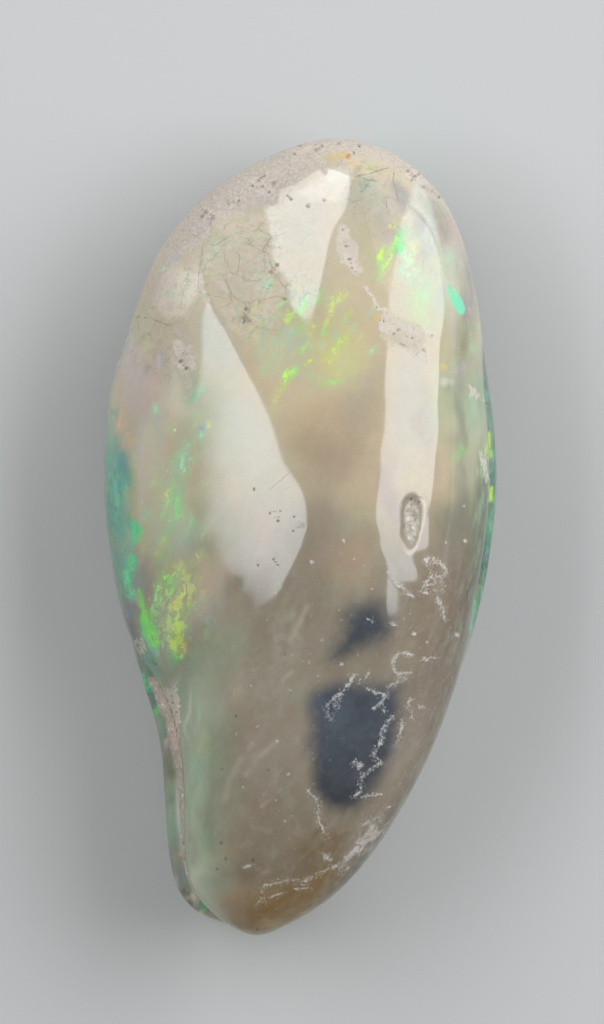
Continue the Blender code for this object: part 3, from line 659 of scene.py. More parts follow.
# play of colour: tone, strength, half width, points
GLOWS = [
    # ribbon at the upper right
    ("pear", .45, 5, [(396, 228), (404, 222)]), ("jade", .85, 5, [(398, 252), (402, 243), (405, 236)]),
    ("spring", .85, 4, [(397, 248), (402, 240)]), ("lime", .52, 2.4, [(381, 261), (389, 252), (398, 244)]),
    ("lime", .5, 2.0, [(379, 256), (384, 250)]), ("spring", .45, 4, [(378, 278), (382, 267)]),
    ("pear", .5, 4, [(384, 273), (389, 262)]), ("spring", .35, 6, [(384, 262), (394, 252)]),
    ("yellow", .34, 1.6, [(390, 281), (393, 284)]), ("mint", .6, 6, [(402, 272), (408, 258)]),
    ("mint", .5, 5, [(410, 282), (417, 274)]), ("pear", .4, 8, [(410, 262), (414, 246)]),
    ("lilac", .35, 6, [(386, 246), (388, 240)]), ("glass", .30, 3, [(428, 198), (431, 216)]),
    ("mint", .35, 6, [(446, 262), (450, 250)]), ("mint", .35, 6, [(428, 300), (424, 284)]),
    ("teal", .5, 2, [(366, 186), (368, 184)]), ("spring", .3, 9, [(420, 318), (418, 296)]),
    # middle of the broad end
    ("pear", .42, 7, [(331, 306), (342, 291)]), ("pale_lime", .40, 4, [(334, 302), (339, 296)]),
    ("pear", .5, 4, [(326, 318), (330, 310)]), ("mint", .55, 7, [(298, 300), (310, 292)]),
    ("spring", .5, 4, [(299, 308), (305, 303)]), ("lime", .55, 4, [(288, 320), (291, 313)]),
    ("spring", .5, 4, [(299, 326), (304, 318)]), ("mint", .45, 5, [(264, 325), (270, 321)]),
    ("aqua", .4, 3, [(262, 286), (268, 282)]), ("pear", .45, 4, [(256, 336), (259, 326)]),
    ("mint", .45, 5, [(262, 293), (266, 279)]), ("orange", .25, 2, [(272, 336), (275, 334)]),
    ("spring", .45, 3, [(302, 308), (304, 300)]), ("lime", .44, 2.2, [(322, 356), (330, 352), (339, 346)]),
    ("pear", .34, 5, [(322, 362), (346, 348)]), ("pear", .30, 3, [(326, 373), (344, 371)]),
    ("spring", .35, 4, [(318, 388), (330, 384)]), ("pear", .20, 8, [(328, 364), (340, 356)]),
    ("mint", .4, 3, [(372, 354), (375, 352)]), ("lime", .55, 2.2, [(283, 387), (288, 381), (291, 374)]),
    ("spring", .45, 4, [(289, 378), (295, 369)]), ("pear", .5, 3, [(275, 400), (278, 388)]),
    ("pear", .35, 4, [(271, 416), (275, 404)]), ("mint", .35, 7, [(262, 352), (268, 340)]),
    ("mint", .30, 9, [(275, 368), (280, 350)]), ("pear", .35, 5, [(304, 344), (312, 338)]),
    ("spring", .4, 4, [(316, 300), (324, 292)]), ("mint", .35, 5, [(286, 340), (292, 330)]),
    ("pear", .4, 4, [(344, 338), (348, 330)]), ("lime", .35, 3, [(342, 342), (348, 336)]),
    ("spring", .5, 2, [(281, 308), (284, 303)]), ("lime", .5, 2, [(296, 288), (298, 284)]), ("pear", .5, 2.5, [(310, 330), (314, 324)]),
    ("spring", .5, 2, [(322, 330), (326, 324)]), ("mint", .5, 2, [(318, 344), (322, 340)]), ("lime", .5, 2, [(346, 316), (350, 310)]),
    ("mint", .5, 2.4, [(352, 330), (355, 326)]), ("pear", .5, 2, [(360, 342), (364, 338)]), ("spring", .4, 2, [(334, 384), (340, 380)]),
    ("lime", .5, 2, [(306, 366), (309, 360)]), ("spring", .45, 2, [(300, 350), (303, 345)]), ("mint", .45, 2, [(276, 320), (279, 315)]),
    ("pear", .45, 2, [(292, 350), (295, 346)]), ("lime", .45, 2, [(256, 312), (259, 308)]), ("mint", .5, 2, [(246, 340), (249, 335)]),
    ("spring", .4, 2, [(262, 372), (265, 366)]), ("pear", .4, 2, [(352, 372), (356, 368)]), ("mint", .45, 3, [(372, 314), (376, 306)]),
    # upper left
    ("lilac", .55, 7, [(172, 262), (174, 256)]), ("lilac", .25, 12, [(160, 300), (166, 286)]),
    ("mint", .4, 2, [(180, 248), (185, 245)]), ("mint", .45, 2, [(160, 269), (166, 267)]),
    ("mint", .4, 2, [(166, 291), (174, 289)]), ("mint", .35, 4, [(216, 252), (218, 244)]),
    ("pear", .25, 7, [(206, 268), (212, 258)]), ("lilac", .35, 7, [(206, 212), (196, 222)]),
    # left shoulder
    ("lilac", .45, 6, [(128, 358), (131, 346)]), ("lilac", .7, 2.6, [(157, 365), (157, 352)]),
    ("pear", .4, 5, [(148, 352), (149, 344)]), ("lilac", .25, 10, [(140, 386), (144, 366)]),
    ("pink", .35, 10, [(150, 400), (153, 376)]), ("pink", .45, 5, [(117, 426), (121, 410)]),
    ("orange", .30, 3, [(116, 425), (119, 419)]), ("peach", .5, 6, [(126, 446), (129, 432)]),
    ("pear", .4, 3, [(146, 433), (148, 426)]), ("mint", .5, 3, [(154, 413), (156, 406)]),
    ("glass", .55, 9, [(193, 398), (196, 376)]), ("mint", .4, 6, [(194, 402), (197, 386)]),
    ("mint", .40, 9, [(186, 466), (192, 444), (198, 420)]), ("mint", .36, 4.5, [(176, 468), (182, 458), (188, 448)]), ("pale_mint", .22, 10, [(204, 520), (206, 480), (203, 440)]),
    ("mint", .34, 11, [(172, 520), (177, 490), (182, 468)]), ("green", .22, 9, [(166, 552), (172, 520), (176, 490)]),
    ("blue", .45, 1.8, [(200, 428), (202, 426)]), ("pear", .6, 2.4, [(208, 426), (210, 424)]),
    ("mint", .7, 1.8, [(200, 435), (202, 434)]), ("lilac", .35, 5, [(208, 457), (214, 452)]),
    ("pear", .4, 3, [(153, 484), (156, 478)]), ("pear", .45, 4, [(166, 502), (170, 492)]),
    ("spring", .4, 5, [(178, 514), (181, 500)]), ("pear", .4, 4, [(160, 550), (164, 540)]),
    ("lilac", .3, 4, [(143, 520), (146, 474)]), ("pear", .3, 5, [(205, 534), (210, 526)]),
    ("mint", .35, 7, [(186, 540), (190, 520)]),
    # teal along the left edge
    ("teal", .85, 12, [(113, 524), (115, 484), (112, 456)]), ("aqua", .5, 4, [(117, 506), (117, 488), (114, 476)]),
    ("teal", .6, 6, [(107, 470), (109, 432), (112, 412)]), ("jade", .45, 2.5, [(106, 452), (108, 430)]),
    ("glass", .5, 7, [(128, 516), (130, 484)]), ("teal", .6, 9, [(124, 556), (128, 530)]),
    ("jade", .75, 5, [(130, 542), (135, 530)]), ("spring", .3, 4, [(136, 540), (139, 532)]),
    ("jade", 1.1, 3.6, [(129, 588), (129, 570), (130, 558)]), ("aqua", .4, 5, [(131, 594), (127, 566)]),
    ("teal", .55, 9, [(120, 592), (118, 566)]), ("spring", .55, 3, [(138, 600), (140, 594)]),
    ("violet", .40, 7, [(128, 618), (122, 600)]), ("blue", .5, 2, [(130, 614), (131, 612)]),
    ("steel", .60, 8, [(130, 640), (136, 612)]), ("teal", .6, 7, [(150, 664), (144, 640)]),
    ("violet", .30, 6, [(146, 590), (148, 556)]),
    # the bright patch at the lower left
    ("vivid", 1.1, 5.0, [(152, 642), (150, 628), (146, 612)]), ("vivid", .8, 3.0, [(143, 604), (139, 594)]), ("green", .40, 5, [(158, 640), (156, 612)]),
    ("jade", .6, 4, [(147, 640), (144, 622)]), ("aqua", .5, 4, [(153, 652), (148, 640)]),
    ("spring", .42, 4, [(158, 606), (160, 588), (163, 574)]), ("spring", .7, 2.6, [(170, 590), (175, 577)]),
    ("pale_lime", .34, 8, [(166, 592), (172, 570)]), ("pale_lime", .45, 3.5, [(180, 590), (184, 566)]), ("green", .5, 2.5, [(166, 586), (169, 578)]),
    ("yellow", .62, 2.4, [(172, 606), (175, 598)]), ("pear", .40, 3, [(180, 604), (184, 590)]), ("pale_lime", .60, 8, [(178, 648), (181, 628), (176, 608)]), ("pale_lime", .30, 10, [(190, 606), (192, 580)]),
    ("lime", .85, 4.2, [(175, 646), (176, 634), (174, 624)]), ("yellow", .6, 3, [(180, 648), (178, 638)]), ("pale_lime", .5, 6, [(172, 640), (174, 618)]),
    ("orange", .26, 3, [(185, 649), (189, 647)]), ("green", .7, 3.5, [(172, 662), (176, 656)]),
    ("jade", .40, 4, [(172, 668), (176, 652)]), ("pale_mint", .45, 12, [(162, 650), (166, 590)]),
    ("pear", .35, 6, [(166, 626), (168, 608)]), ("peach", .26, 8, [(203, 592), (205, 562)]),
    ("orange", .16, 4, [(203, 592), (206, 586)]), ("peach", .24, 6, [(188, 604), (190, 584)]),
    ("peach", .20, 6, [(200, 616), (208, 612)]), ("peach", .22, 7, [(210, 638), (214, 630)]),
    ("pink", .2, 8, [(196, 636), (200, 616)]), ("pear", .4, 5, [(196, 560), (200, 552)]),
    ("green", .85, 4, [(146, 676), (152, 682), (157, 684)]), ("jade", .7, 4, [(144, 684), (140, 670)]),
    ("lime", .7, 2.2, [(152, 684), (156, 682)]), ("teal", .6, 7, [(156, 676), (148, 660)]),
    ("green", .6, 3, [(156, 712), (158, 706)]), ("jade", .35, 6, [(156, 722), (154, 700)]),
    ("jade", .3, 5, [(180, 696), (176, 680)]), ("mint", .18, 9, [(196, 700), (192, 668)]),
    ("pear", .24, 8, [(200, 752), (202, 738)]), ("mint", .20, 9, [(196, 800), (192, 760)]),
    ("pink", .2, 12, [(236, 700), (240, 672)]), ("peach", .16, 8, [(232, 700), (234, 690)]),
    ("peach", .22, 9, [(226, 862), (232, 848)]), ("peach", .2, 8, [(240, 900), (230, 884)]),
    # right edge
    ("jade", .45, 3, [(486, 420), (487, 400), (486, 384)]), ("lime", .75, 2.5, [(489, 456), (489, 438)]),
    ("lime", .7, 2, [(491, 502), (492, 486)]), ("jade", .38, 4, [(491, 560), (493, 516), (493, 470)]),
    ("glass", .30, 9, [(484, 596), (487, 540), (486, 480)]), ("teal", .25, 6, [(476, 630), (484, 600)]),
    ("mint", .45, 4, [(483, 474), (486, 462)]), ("spring", .4, 5, [(457, 456), (463, 448)]),
    ("mint", .3, 8, [(474, 430), (472, 400)]), ("mint", .35, 7, [(476, 350), (472, 330)]),
    ("lilac", .35, 6, [(470, 318), (466, 300)]), ("mint", .35, 5, [(480, 312), (477, 300)]),
    ("lilac", .3, 8, [(454, 250), (462, 262)]), ("pink", .3, 9, [(444, 224), (452, 240)]),
    ("lilac", .5, 5, [(461, 371), (464, 366)]), ("mint", .25, 14, [(440, 420), (446, 380)]),
    ("mint", .16, 8, [(352, 526), (368, 514)]), ("peach", .18, 12, [(340, 572), (352, 552)]), ("ochre", .45, 3.5, [(262, 925), (274, 921)])]
MATTE = [(110, 340), (120, 300), (142, 268), (164, 250), (180, 254), (206, 280), (209, 296), (219, 312), (240, 338),
         (262, 322), (286, 308), (294, 300), (290, 279), (276, 262), (271, 238), (266, 197), (280, 182),
         (262, 168), (220, 176), (180, 216), (150, 250), (122, 300)]
TAN_STRIP = [(180, 318), (190, 310), (201, 293), (208, 300), (203, 320), (201, 350), (199, 404), (184, 408), (172, 370), (168, 326)]
FACET = [(173, 257), (188, 268), (203, 285), (196, 301), (184, 314), (167, 321), (153, 316), (152, 296), (161, 274)]
CAPSULE = [(445, 285), (450, 285), (457, 291), (463, 300), (466, 309), (464, 315), (459, 315), (454, 308), (449, 298)]
MATTE_RIGHT = [(360, 162), (392, 160), (410, 174), (412, 186), (404, 225), (398, 250), (390, 296), (378, 280), (370, 235), (360, 200)]
HIGHLIGHT_ROLL_TOP = [(296, 190), (318, 178), (340, 166), (361, 158), (357, 170), (349, 188), (344, 204), (310, 204)]
HIGHLIGHT_ROLL_RIGHT = [(413, 184), (420, 183), (428, 194), (434, 212), (438, 232), (441, 250), (437, 247), (430, 231), (422, 218), (413, 210), (406, 206), (410, 196)]
WINDOW_TOP = [(345, 614), (353, 602), (370, 598), (384, 605), (393, 617), (393, 634), (385, 645), (370, 652),
              (354, 656), (341, 662), (331, 660), (334, 645), (341, 630)]
WINDOW_LOW = [(313, 690), (328, 684), (352, 682), (380, 683), (399, 688), (403, 706), (399, 730), (393, 755),
              (384, 778), (372, 798), (358, 811), (340, 815), (325, 809), (315, 790), (310, 758), (308, 722), (309, 702)]


def strokes_nearest(px, py, table):
    """Plain distance, signed distance and half width of the nearest stroke."""
    best, signed = np.full(px.shape, 60.0), np.full(px.shape, 60.0)
    width = np.ones(px.shape)
    for half, points in table:
        d, s = path_distance(px, py, points)
        near = d < best
        best, signed = np.where(near, d, best), np.where(near, s, signed)
        width = np.where(near, half, width)
    return best, signed, width


def along_strokes(px, py, p, table, wobble, seed):
    wob_x = px + wobble * (noise(p, 0.8, seed) - .5) + .5 * wobble * (noise(p, .35, seed + 2) - .5)
    wob_y = py + wobble * (noise(p, 0.8, seed + 1) - .5) + .5 * wobble * (noise(p, .35, seed + 3) - .5)
    out = np.zeros(px.shape)
    for strength, half, points in table:
        d = path_distance(wob_x, wob_y, points)[0]
        out = np.maximum(out, strength * (1 - ease_step(half * .5, half * 1.6, d)))
    return out, wob_x, wob_y


def pit_oval(px, py, p):
    """1 on the ragged edge of the pit."""
    narrow = 1 + .26 * np.clip((py - 521) / 26, -1, 1.5)
    return oval(411.5 + (px - 411.5 + 5 * (noise(p, .8, 19) - .5)) * narrow, py + 8 * (noise(p, .8, 20) - .5), 411.5, 521.5, 11.0, 27.0, 5)


def rock_amount(px, py, p):
    out, wob_x, wob_y = along_strokes(px, py, p, ROCK, 8, 31)
    out = np.maximum(out, .60 * (1 - ease_step(.60, .98, pit_oval(px, py, p))))
    # rock beside the seam
    band = ease_step(-2, 5, 181.0 - wob_x) * ease_step(672, 700, wob_y + .8 * (px - 170)) * (1 - ease_step(740, 770, wob_y))
    return np.maximum(out, .88 * band)


def dust_amount(px, py, p):
    return along_strokes(px, py, p, DUST, 16, 131)[0]



def front_relief(px, py, p):
    """Height of small features above the plain face, in millimetres."""
    out = .0016 * (layered(p, 3.4, 3, 5) - .5) * 2
    rock = ease_step(.45, .75, rock_amount(px, py, p) + (layered(p, .45, 3, 8) - .5) * .5)
    coarse, _ = grains(p, .42, 60)
    out = out - rock * (.003 + .014 * (coarse - .5) + .012 * (layered(p, .9, 2, 9) - .5))
    out = out + ease_step(.3, .9, dust_amount(px, py, p)) * .008 * (layered(p, .30, 2, 10) - .5)
    pit = pit_oval(px, py, p)
    out = out - .13 * (1 - ease_step(.35, 1.08, pit)) - .05 * (1 - ease_step(.6, 1.0, pit)) * (layered(p, .5, 2, 18) - .5)
    ragged_x, ragged_y = px + 9 * (noise(p, .35, 15) - .5), py + 9 * (noise(p, .35, 16) - .5)
    for cx, cy, radius, depth in DIPS:
        d = np.hypot(ragged_x - cx, ragged_y - cy) / radius
        out = out - (.35 if depth > .055 else .10) * depth * (1 - ease_step(.20, 1.2, d))
    return out


def paint_front(px, py, p, up):
    """Soft colour of the opal, with painted highlights and shade in places, and the play of colour, on the front."""
    n = px.shape[0]
    wx = px + 22 * (noise(p, 3.0, 41) - .5) + 10 * (noise(p, 1.1, 42) - .5)
    wy = py + 26 * (noise(p, 3.0, 43) - .5) + 12 * (noise(p, 1.1, 44) - .5)
    sx, sy = px + 5 * (noise(p, 1.0, 141) - .5), py + 5 * (noise(p, 1.0, 142) - .5)
    tint = np.tile(TONES["beige"], (n, 1))

    def zone(colour, strength, cx, cy, rx, ry, turn=0.0, soft=.10):
        brush(TONES[colour], tint, strength * (1 - ease_step(soft, 1.0, oval(wx, wy, cx, cy, rx, ry, turn))))

    brush(TONES["cream"], tint, .45 * (1 - ease_step(190, 350, wy)))
    brush(TONES["smoke"], tint, 1.0 * ease_step(460, 600, wy + .10 * (wx - 300)))
    brush(TONES["umber"], tint, .70 * ease_step(720, 900, wy))
    zone("tan", .55, 232, 262, 70, 80, 10)
    zone("rosy", .30, 230, 200, 90, 30, -30)
    zone("fawn", .40, 270, 175, 110, 34, -20)
    zone("bone", .50, 372, 196, 34, 30)
    zone("sage", .40, 372, 250, 30, 50)
    zone("tan", .35, 380, 200, 60, 60)
    zone("fawn", .85, 360, 440, 70, 100, -8)
    zone("amber", .45, 330, 425, 44, 44, -15)
    zone("pear", .35, 338, 345, 46, 50)
    zone("tan", .95, 344, 452, 76, 70)
    zone("smoke", .35, 340, 470, 60, 40)
    zone("peach", .25, 345, 566, 40, 46)
    zone("mauve_grey", .50, 322, 530, 40, 60)
    zone("sage", .65, 456, 400, 36, 110)
    zone("hairline", .45, 462, 400, 36, 120)
    zone("ash", .55, 468, 282, 26, 50)
    zone("smoke", .70, 452, 540, 40, 80)
    zone("umber", .65, 445, 620, 60, 130, 12)
    zone("pale_mint", .45, 440, 270, 34, 80)
    zone("sea_grey", .85, 206, 700, 50, 96, 6)
    zone("sea_grey", .85, 198, 780, 34, 120, 4)
    zone("sea_grey", .75, 206, 880, 44, 66)
    zone("pale_mint", .35, 200, 880, 24, 50)
    zone("sea_grey", .55, 214, 790, 42, 130, 2)
    zone("pale_mint", .12, 200, 770, 34, 120, 2)
    zone("pale_mint", .45, 170, 520, 46, 90)
    zone("hairline", .60, 212, 540, 44, 60)
    zone("sage", .50, 215, 420, 44, 100, -14)
    zone("sea_grey", .65, 205, 632, 54, 60)
    zone("tan", .70, 187, 352, 20, 74)
    zone("ash", .60, 150, 400, 60, 110, 8)
    zone("lilac", .22, 148, 384, 40, 60)
    zone("teal", .95, 112, 490, 28, 84, 3)
    zone("teal", .75, 122, 565, 22, 60, -8)
    zone("steel", .70, 130, 622, 12, 34, -12)
    zone("deep_teal", .60, 146, 664, 17, 34, -16)
    zone("honey", 1.0, 296, 936, 110, 70)
    zone("olive", .55, 306, 905, 50, 30)
    zone("ochre", .40, 262, 934, 40, 12)
    zone("olive", .70, 322, 848, 34, 28)
    zone("olive", .35, 300, 880, 70, 34)
    zone("glass", .85, 490, 500, 17, 90, 2)
    zone("grey_green", .5, 474, 520, 20, 90)
    zone("glass", .45, 482, 600, 13, 60, 14)
    zone("glass", .45, 478, 400, 16, 90)
    brush(TONES["white"], tint, .45 * (1 - ease_step(.3, 1, oval(wx, wy, 444, 378, 9, 7))))
    brush(TONES["ochre"], tint, .75 * (1 - ease_step(.2, 1, oval(wx, wy, 343, 156, 20, 6, 4))))
    brush(TONES["pear"], tint, .45 * (1 - ease_step(.2, 1, oval(wx, wy, 368, 162, 10, 10))))
    brush(TONES["grey_green"], tint, .60 * (1 - ease_step(.1, 1, oval(px, py, 244, 319, 11, 9))))
    brush(TONES["grey_green"], tint, .45 * (1 - ease_step(.1, 1, oval(px, py, 285, 299, 9, 8))))
    brush(TONES["grey_green"], tint, .40 * (1 - ease_step(.1, 1, oval(px, py, 201, 268, 5, 28))))
    brush(TONES["rust"], tint, .35 * (1 - ease_step(.1, 1, oval(wx, wy, 271, 271, 6, 5))))
    # painted sheen: the facet is whitened with chalk where it catches the left panel's light, and a grey-green band
    # along its right edge is painted shadow
    facet = polygon(px + 5 * (noise(p, 1.0, 143) - .5), py + 5 * (noise(p, 1.0, 144) - .5), FACET)
    brush(TONES["chalk"], tint, .62 * (1 - ease_step(-5, 1.5, facet)))
    brush(TONES["grey_green"], tint, .34 * (1 - ease_step(.5, 3.5, np.abs(facet - 2.0))) * ease_step(176, 196, px) * ease_step(270, 284, py))
    # tones by how far the face turns down to the seam: glass green at the sides, tan low on the right, pale mint low on
    # the left, rosy at the top
    brush(TONES["glass"], tint, .35 * (1 - ease_step(.10, .45, up)) * ease_step(330, 420, py) * (1 - ease_step(600, 660, py)))
    brush(TONES["tan"], tint, .45 * (1 - ease_step(.15, .75, up)) * ease_step(600, 680, py) * (1 - ease_step(790, 850, py)) * ease_step(280, 330, px))
    brush(TONES["pale_mint"], tint, .42 * (1 - ease_step(.15, .85, up)) * ease_step(660, 720, py) * (1 - ease_step(200, 250, px)))
    brush(TONES["rosy"], tint, .40 * (1 - ease_step(.10, .45, up)) * (1 - ease_step(330, 420, py)))

    # Multiplies the tint inside an oval. Some rows are painted light. They darken the tint under the panels' highlights
    # and along the right rim, where the floor's sheen lands, and one lightens a cool patch above the top highlight as a
    # painted highlight. The other rows set tone.
    def painted_light_and_tone(red, green, blue, cx, cy, rx, ry, turn=0.0):
        amount = 1 - ease_step(.25, 1.15, oval(wx, wy, cx, cy, rx, ry, turn))
        tint[:] = tint * (1 + (np.array((red, green, blue)) - 1) * amount[:, None])

    for row in (
            (.97, 1.07, 1.20, 252, 450, 40, 84, -25), (1.04, 1.04, 1.18, 272, 540, 34, 50), (.82, .95, 1.08, 222, 337, 24, 40),
            (.86, .87, .80, 208, 536, 32, 48), (1.12, 1.15, 1.14, 176, 402, 26, 40), (.96, .92, .90, 338, 458, 40, 40),
            (.86, .90, .96, 366, 405, 28, 60), (.90, .97, 1.12, 407, 400, 20, 90), (.90, .89, 1.06, 422, 245, 16, 44),
            (.95, .97, 1.10, 304, 226, 34, 50), (.93, .93, .96, 454, 410, 22, 70), (.82, .91, .90, 450, 518, 28, 50),
            (.94, .96, 1.05, 234, 256, 50, 44), (1.14, 1.16, 1.26, 147, 446, 26, 54), (.90, .94, 1.07, 115, 484, 16, 60),
            (1.05, .98, 1.14, 182, 527, 24, 40), (1.20, 1.12, 1.17, 210, 690, 30, 58), (1.24, 1.15, 1.22, 202, 872, 24, 44),
            (1.11, 1.14, 1.16, 288, 676, 40, 50), (.91, .93, .92, 296, 792, 34, 40), (.85, .81, .77, 442, 664, 36, 70, 14),
            (.92, .86, .74, 460, 604, 26, 56, 6), (.48, .56, .46, 488, 520, 14, 80), (.79, .84, .80, 462, 336, 20, 40),
            (.70, .74, .88, 470, 280, 18, 50), (.80, .94, .94, 366, 192, 24, 30), (.66, .70, .88, 400, 190, 12, 22),
            (.84, .84, .90, 384, 214, 14, 34), (.84, .80, .88, 440, 236, 9, 26), (1.06, 1.22, 1.40, 336, 174, 20, 10, -20), (1.14, 1.18, 1.14, 194, 838, 14, 70),
            (1.34, 1.34, 1.36, 228, 896, 22, 26, 40), (.94, .95, 1.0, 232, 190, 60, 30, -30),
            (.76, .80, .84, 455, 480, 16, 60), (.72, .76, .72, 478, 548, 16, 60), (.88, .88, .92, 453, 412, 13, 50),
            (.84, .84, 1.02, 393, 486, 14, 40), (.84, .84, .96, 424, 426, 11, 50), (.88, .86, 1.02, 449, 238, 14, 44),
            (.70, .78, .86, 412, 216, 10, 18), (.84, .86, .94, 432, 200, 7, 22, -20), (1.0, 1.10, 1.20, 166, 622, 22, 34),
            (1.10, 1.10, 1.12, 272, 536, 30, 40), (1.08, 1.12, 1.18, 268, 765, 34, 50), (1.10, 1.08, 1.10, 212, 692, 26, 50),
            (.72, .86, 1.0, 112, 486, 16, 60), (.94, 1.02, .88, 470, 545, 18, 80),
            (.84, .84, .86, 196, 790, 26, 70), (.55, .66, .76, 138, 652, 9, 18), (.88, .88, .92, 458, 398, 12, 50),
            (.76, .74, .78, 433, 226, 9, 34, -18), (.86, .88, .92, 414, 210, 8, 18), (1.10, 1.10, 1.28, 448, 312, 12, 34, -10),
            (1.28, 1.22, 1.30, 206, 580, 28, 48), (1.18, 1.08, 1.12, 230, 622, 20, 34), (1.16, 1.20, 1.22, 208, 570, 24, 40),
            (1.25, 1.14, 1.24, 191, 602, 15, 24), (.92, .93, .96, 393, 190, 20, 24), (.88, .88, .92, 470, 282, 14, 30),
            (.92, .92, .90, 453, 410, 12, 40), (.93, .92, .86, 462, 332, 16, 30), (.93, .92, 1.0, 422, 242, 12, 30),
            (.86, .86, .90, 265, 188, 44, 18, -20), (.92, .92, .94, 300, 164, 40, 10), (.80, .80, .86, 431, 216, 10, 28, -15), (1.10, 1.15, 1.26, 212, 478, 15, 56), (.86, .82, .84, 462, 320, 22, 60), (1.05, 1.11, 1.11, 188, 292, 20, 24)):
        painted_light_and_tone(*row)
    pit = pit_oval(px, py, p)
    # the pit: putty grey inside, a painted shade on its inner wall at the upper left, and a painted highlight on its
    # rim at the lower right
    brush(TONES["putty"], tint, .85 * (1 - ease_step(.85, 1.08, pit)))
    brush(TONES["smoke"] * .9, tint, .6 * (1 - ease_step(.05, .25, np.abs(pit - .92))) * (1 - ease_step(-6, 8, (py - 521) * .3 + (px - 411))))
    brush(TONES["chalk"], tint, .5 * (1 - ease_step(.05, .16, np.abs(pit - 1.12))) * ease_step(-4, 10, (py - 521) * .35 + (px - 411)))
    # the tip is thin amber opal
    brush(TONES["clay"], tint, .88 * (1 - ease_step(.30, 1.0, oval(wx, wy, 300, 950, 118, 70, -26))))
    brush(TONES["clay"], tint, .30 * (1 - ease_step(.1, 1.0, oval(wx, wy, 328, 852, 36, 26))))
    brush(tone(126, 94, 0), tint, .94 * (1 - ease_step(6, 34, path_distance(px, py, [(244, 938), (264, 934), (292, 918), (314, 902), (332, 886)])[0])))
    # milky white where the face rolls over at the broad end; it is partly a painted highlight, whitening the face where
    # the top highlight and the top of the right highlight reach
    brush(TONES["chalk"], tint, .50 * (1 - ease_step(-7, 3, polygon(sx, sy, HIGHLIGHT_ROLL_TOP))))
    brush(TONES["milk"], tint, .56 * (1 - ease_step(-4.0, 2.5, polygon(px, py, HIGHLIGHT_ROLL_RIGHT))))
    brush(TONES["milk"], tint, .22 * (1 - ease_step(.3, 1.1, oval(sx, sy, 449, 272, 9, 40, -8))))
    brush(TONES["spring_aqua"], tint, .92 * (1 - ease_step(-1.8, .8, polygon(px, py, CAPSULE))))
    # painted shade: the lower right edge, where the face turns down, is darkened
    rim_painted_shade = (1 - ease_step(.15, .80, up)) * ease_step(430, 560, py) * ease_step(300, 340, px)
    tint *= (1 - np.array((.56, .62, .68)) * rim_painted_shade[:, None])
    brush(TONES["white"], tint, .26 * (1 - ease_step(.3, 1.0, oval(wx, py, 184, 712, 4, 38))))

    fx = px + 4.0 * (noise(p, .40, 51) - .5) + 6.0 * (noise(p, 1.2, 53) - .5)
    fy = py + 6.0 * (noise(p, .40, 52) - .5) + 8.0 * (noise(p, 1.2, 54) - .5)
    clear, total, colour = np.ones(n), np.full(n, 1e-4), 1e-4 * np.tile(TONES["mint"], (n, 1))
    for name, strength, half, points in GLOWS:
        d = path_distance(fx, fy, points)[0] / (half + 1.2)
        a = np.minimum(strength * np.exp(-d * d), 1.0)
        clear *= 1 - .97 * a
        total += a * a
        colour += (a * a)[:, None] * TONES[name]
    # the play of colour there is darkened by the same painted shade
    amount, colour = 1 - clear, colour / total[:, None] * (1 - .42 * rim_painted_shade[:, None])

    # patches of fainter pastel play of colour
    pastel = np.zeros(n)
    for strength, cx, cy, rx, ry, turn in (
            (.9, 165, 480, 75, 150, 8), (.6, 160, 300, 60, 80, 25), (.9, 310, 335, 70, 60, 0),
            (.8, 430, 260, 60, 90, -10), (1.0, 170, 620, 55, 75, 10), (.7, 195, 760, 30, 120, 0),
            (.8, 484, 480, 24, 150, 0), (.4, 260, 250, 90, 60, 0), (.5, 470, 620, 26, 60, 15),
            (.5, 460, 350, 30, 60, 0), (.18, 300, 620, 160, 120, 0)):
        pastel = np.maximum(pastel, strength * (1 - ease_step(.2, 1.05, oval(wx, wy, cx, cy, rx, ry, turn))))
    pastel = np.maximum(pastel, .6 * (1 - ease_step(.15, .5, up)))

    def hole(points, seed, soft):
        d = polygon(px + 8 * (noise(p, 1.2, seed) - .5), py + 8 * (noise(p, 1.2, seed + 1) - .5), points)
        return np.clip((.8 * soft - d) / (1.8 * soft), 0, 1)

    window = np.maximum(hole(WINDOW_TOP, 71, 19), hole(WINDOW_LOW, 73, 15))
    craze = np.maximum.reduce([
        1 - ease_step(.55, 1.1, oval(wx, wy, 250, 262, 82, 82, -20)),
        .75 * (1 - ease_step(.55, 1.1, oval(wx, wy, 165, 330, 46, 60, 10))),
        .7 * (1 - ease_step(.5, 1.1, oval(wx, wy, 350, 190, 90, 45, 0))),
        .35 * (1 - ease_step(.5, 1.1, oval(wx, wy, 420, 240, 60, 80, 0)))])
    craze *= 1 - .72 * (1 - ease_step(.7, 1.05, oval(sx, sy, 313, 220, 32, 72, 12)))
    wear = ease_step(500, 620, py) * (1 - .5 * ease_step(240, 160, px)) + .15
    wear += .7 * (1 - ease_step(.3, 1.1, oval(wx, wy, 276, 655, 34, 62, 20)))
    wear *= 1 - .75 * window
    worn = ease_step(.50, .64, layered(p, 1.3, 4, 145)) * (1 - ease_step(.3, 1.1, oval(wx, wy, 284, 648, 32, 60, 24)))
    brush(TONES["ash"], tint, .30 * worn)
    broken = ease_step(.42, .62, layered(p, 2.4, 3, 146))
    for half, points in ((2.2, [(225, 800), (230, 778), (240, 760), (252, 744)]), (1.8, [(229, 748), (238, 736), (252, 726)]),
                         (2.0, [(246, 774), (258, 758), (276, 742)]), (1.6, [(236, 724), (246, 716), (258, 712)]),
                         (1.6, [(262, 806), (280, 790)]), (1.8, [(290, 640), (300, 622), (308, 604)]),
                         (1.6, [(262, 700), (276, 684), (292, 672)]), (1.6, [(258, 876), (276, 868)])):
        brush(TONES["bone"], tint, .26 * broken * (1 - ease_step(.2, 2.4, path_distance(px, py, points)[0] / half)))
    dust = dust_amount(px, py, p)
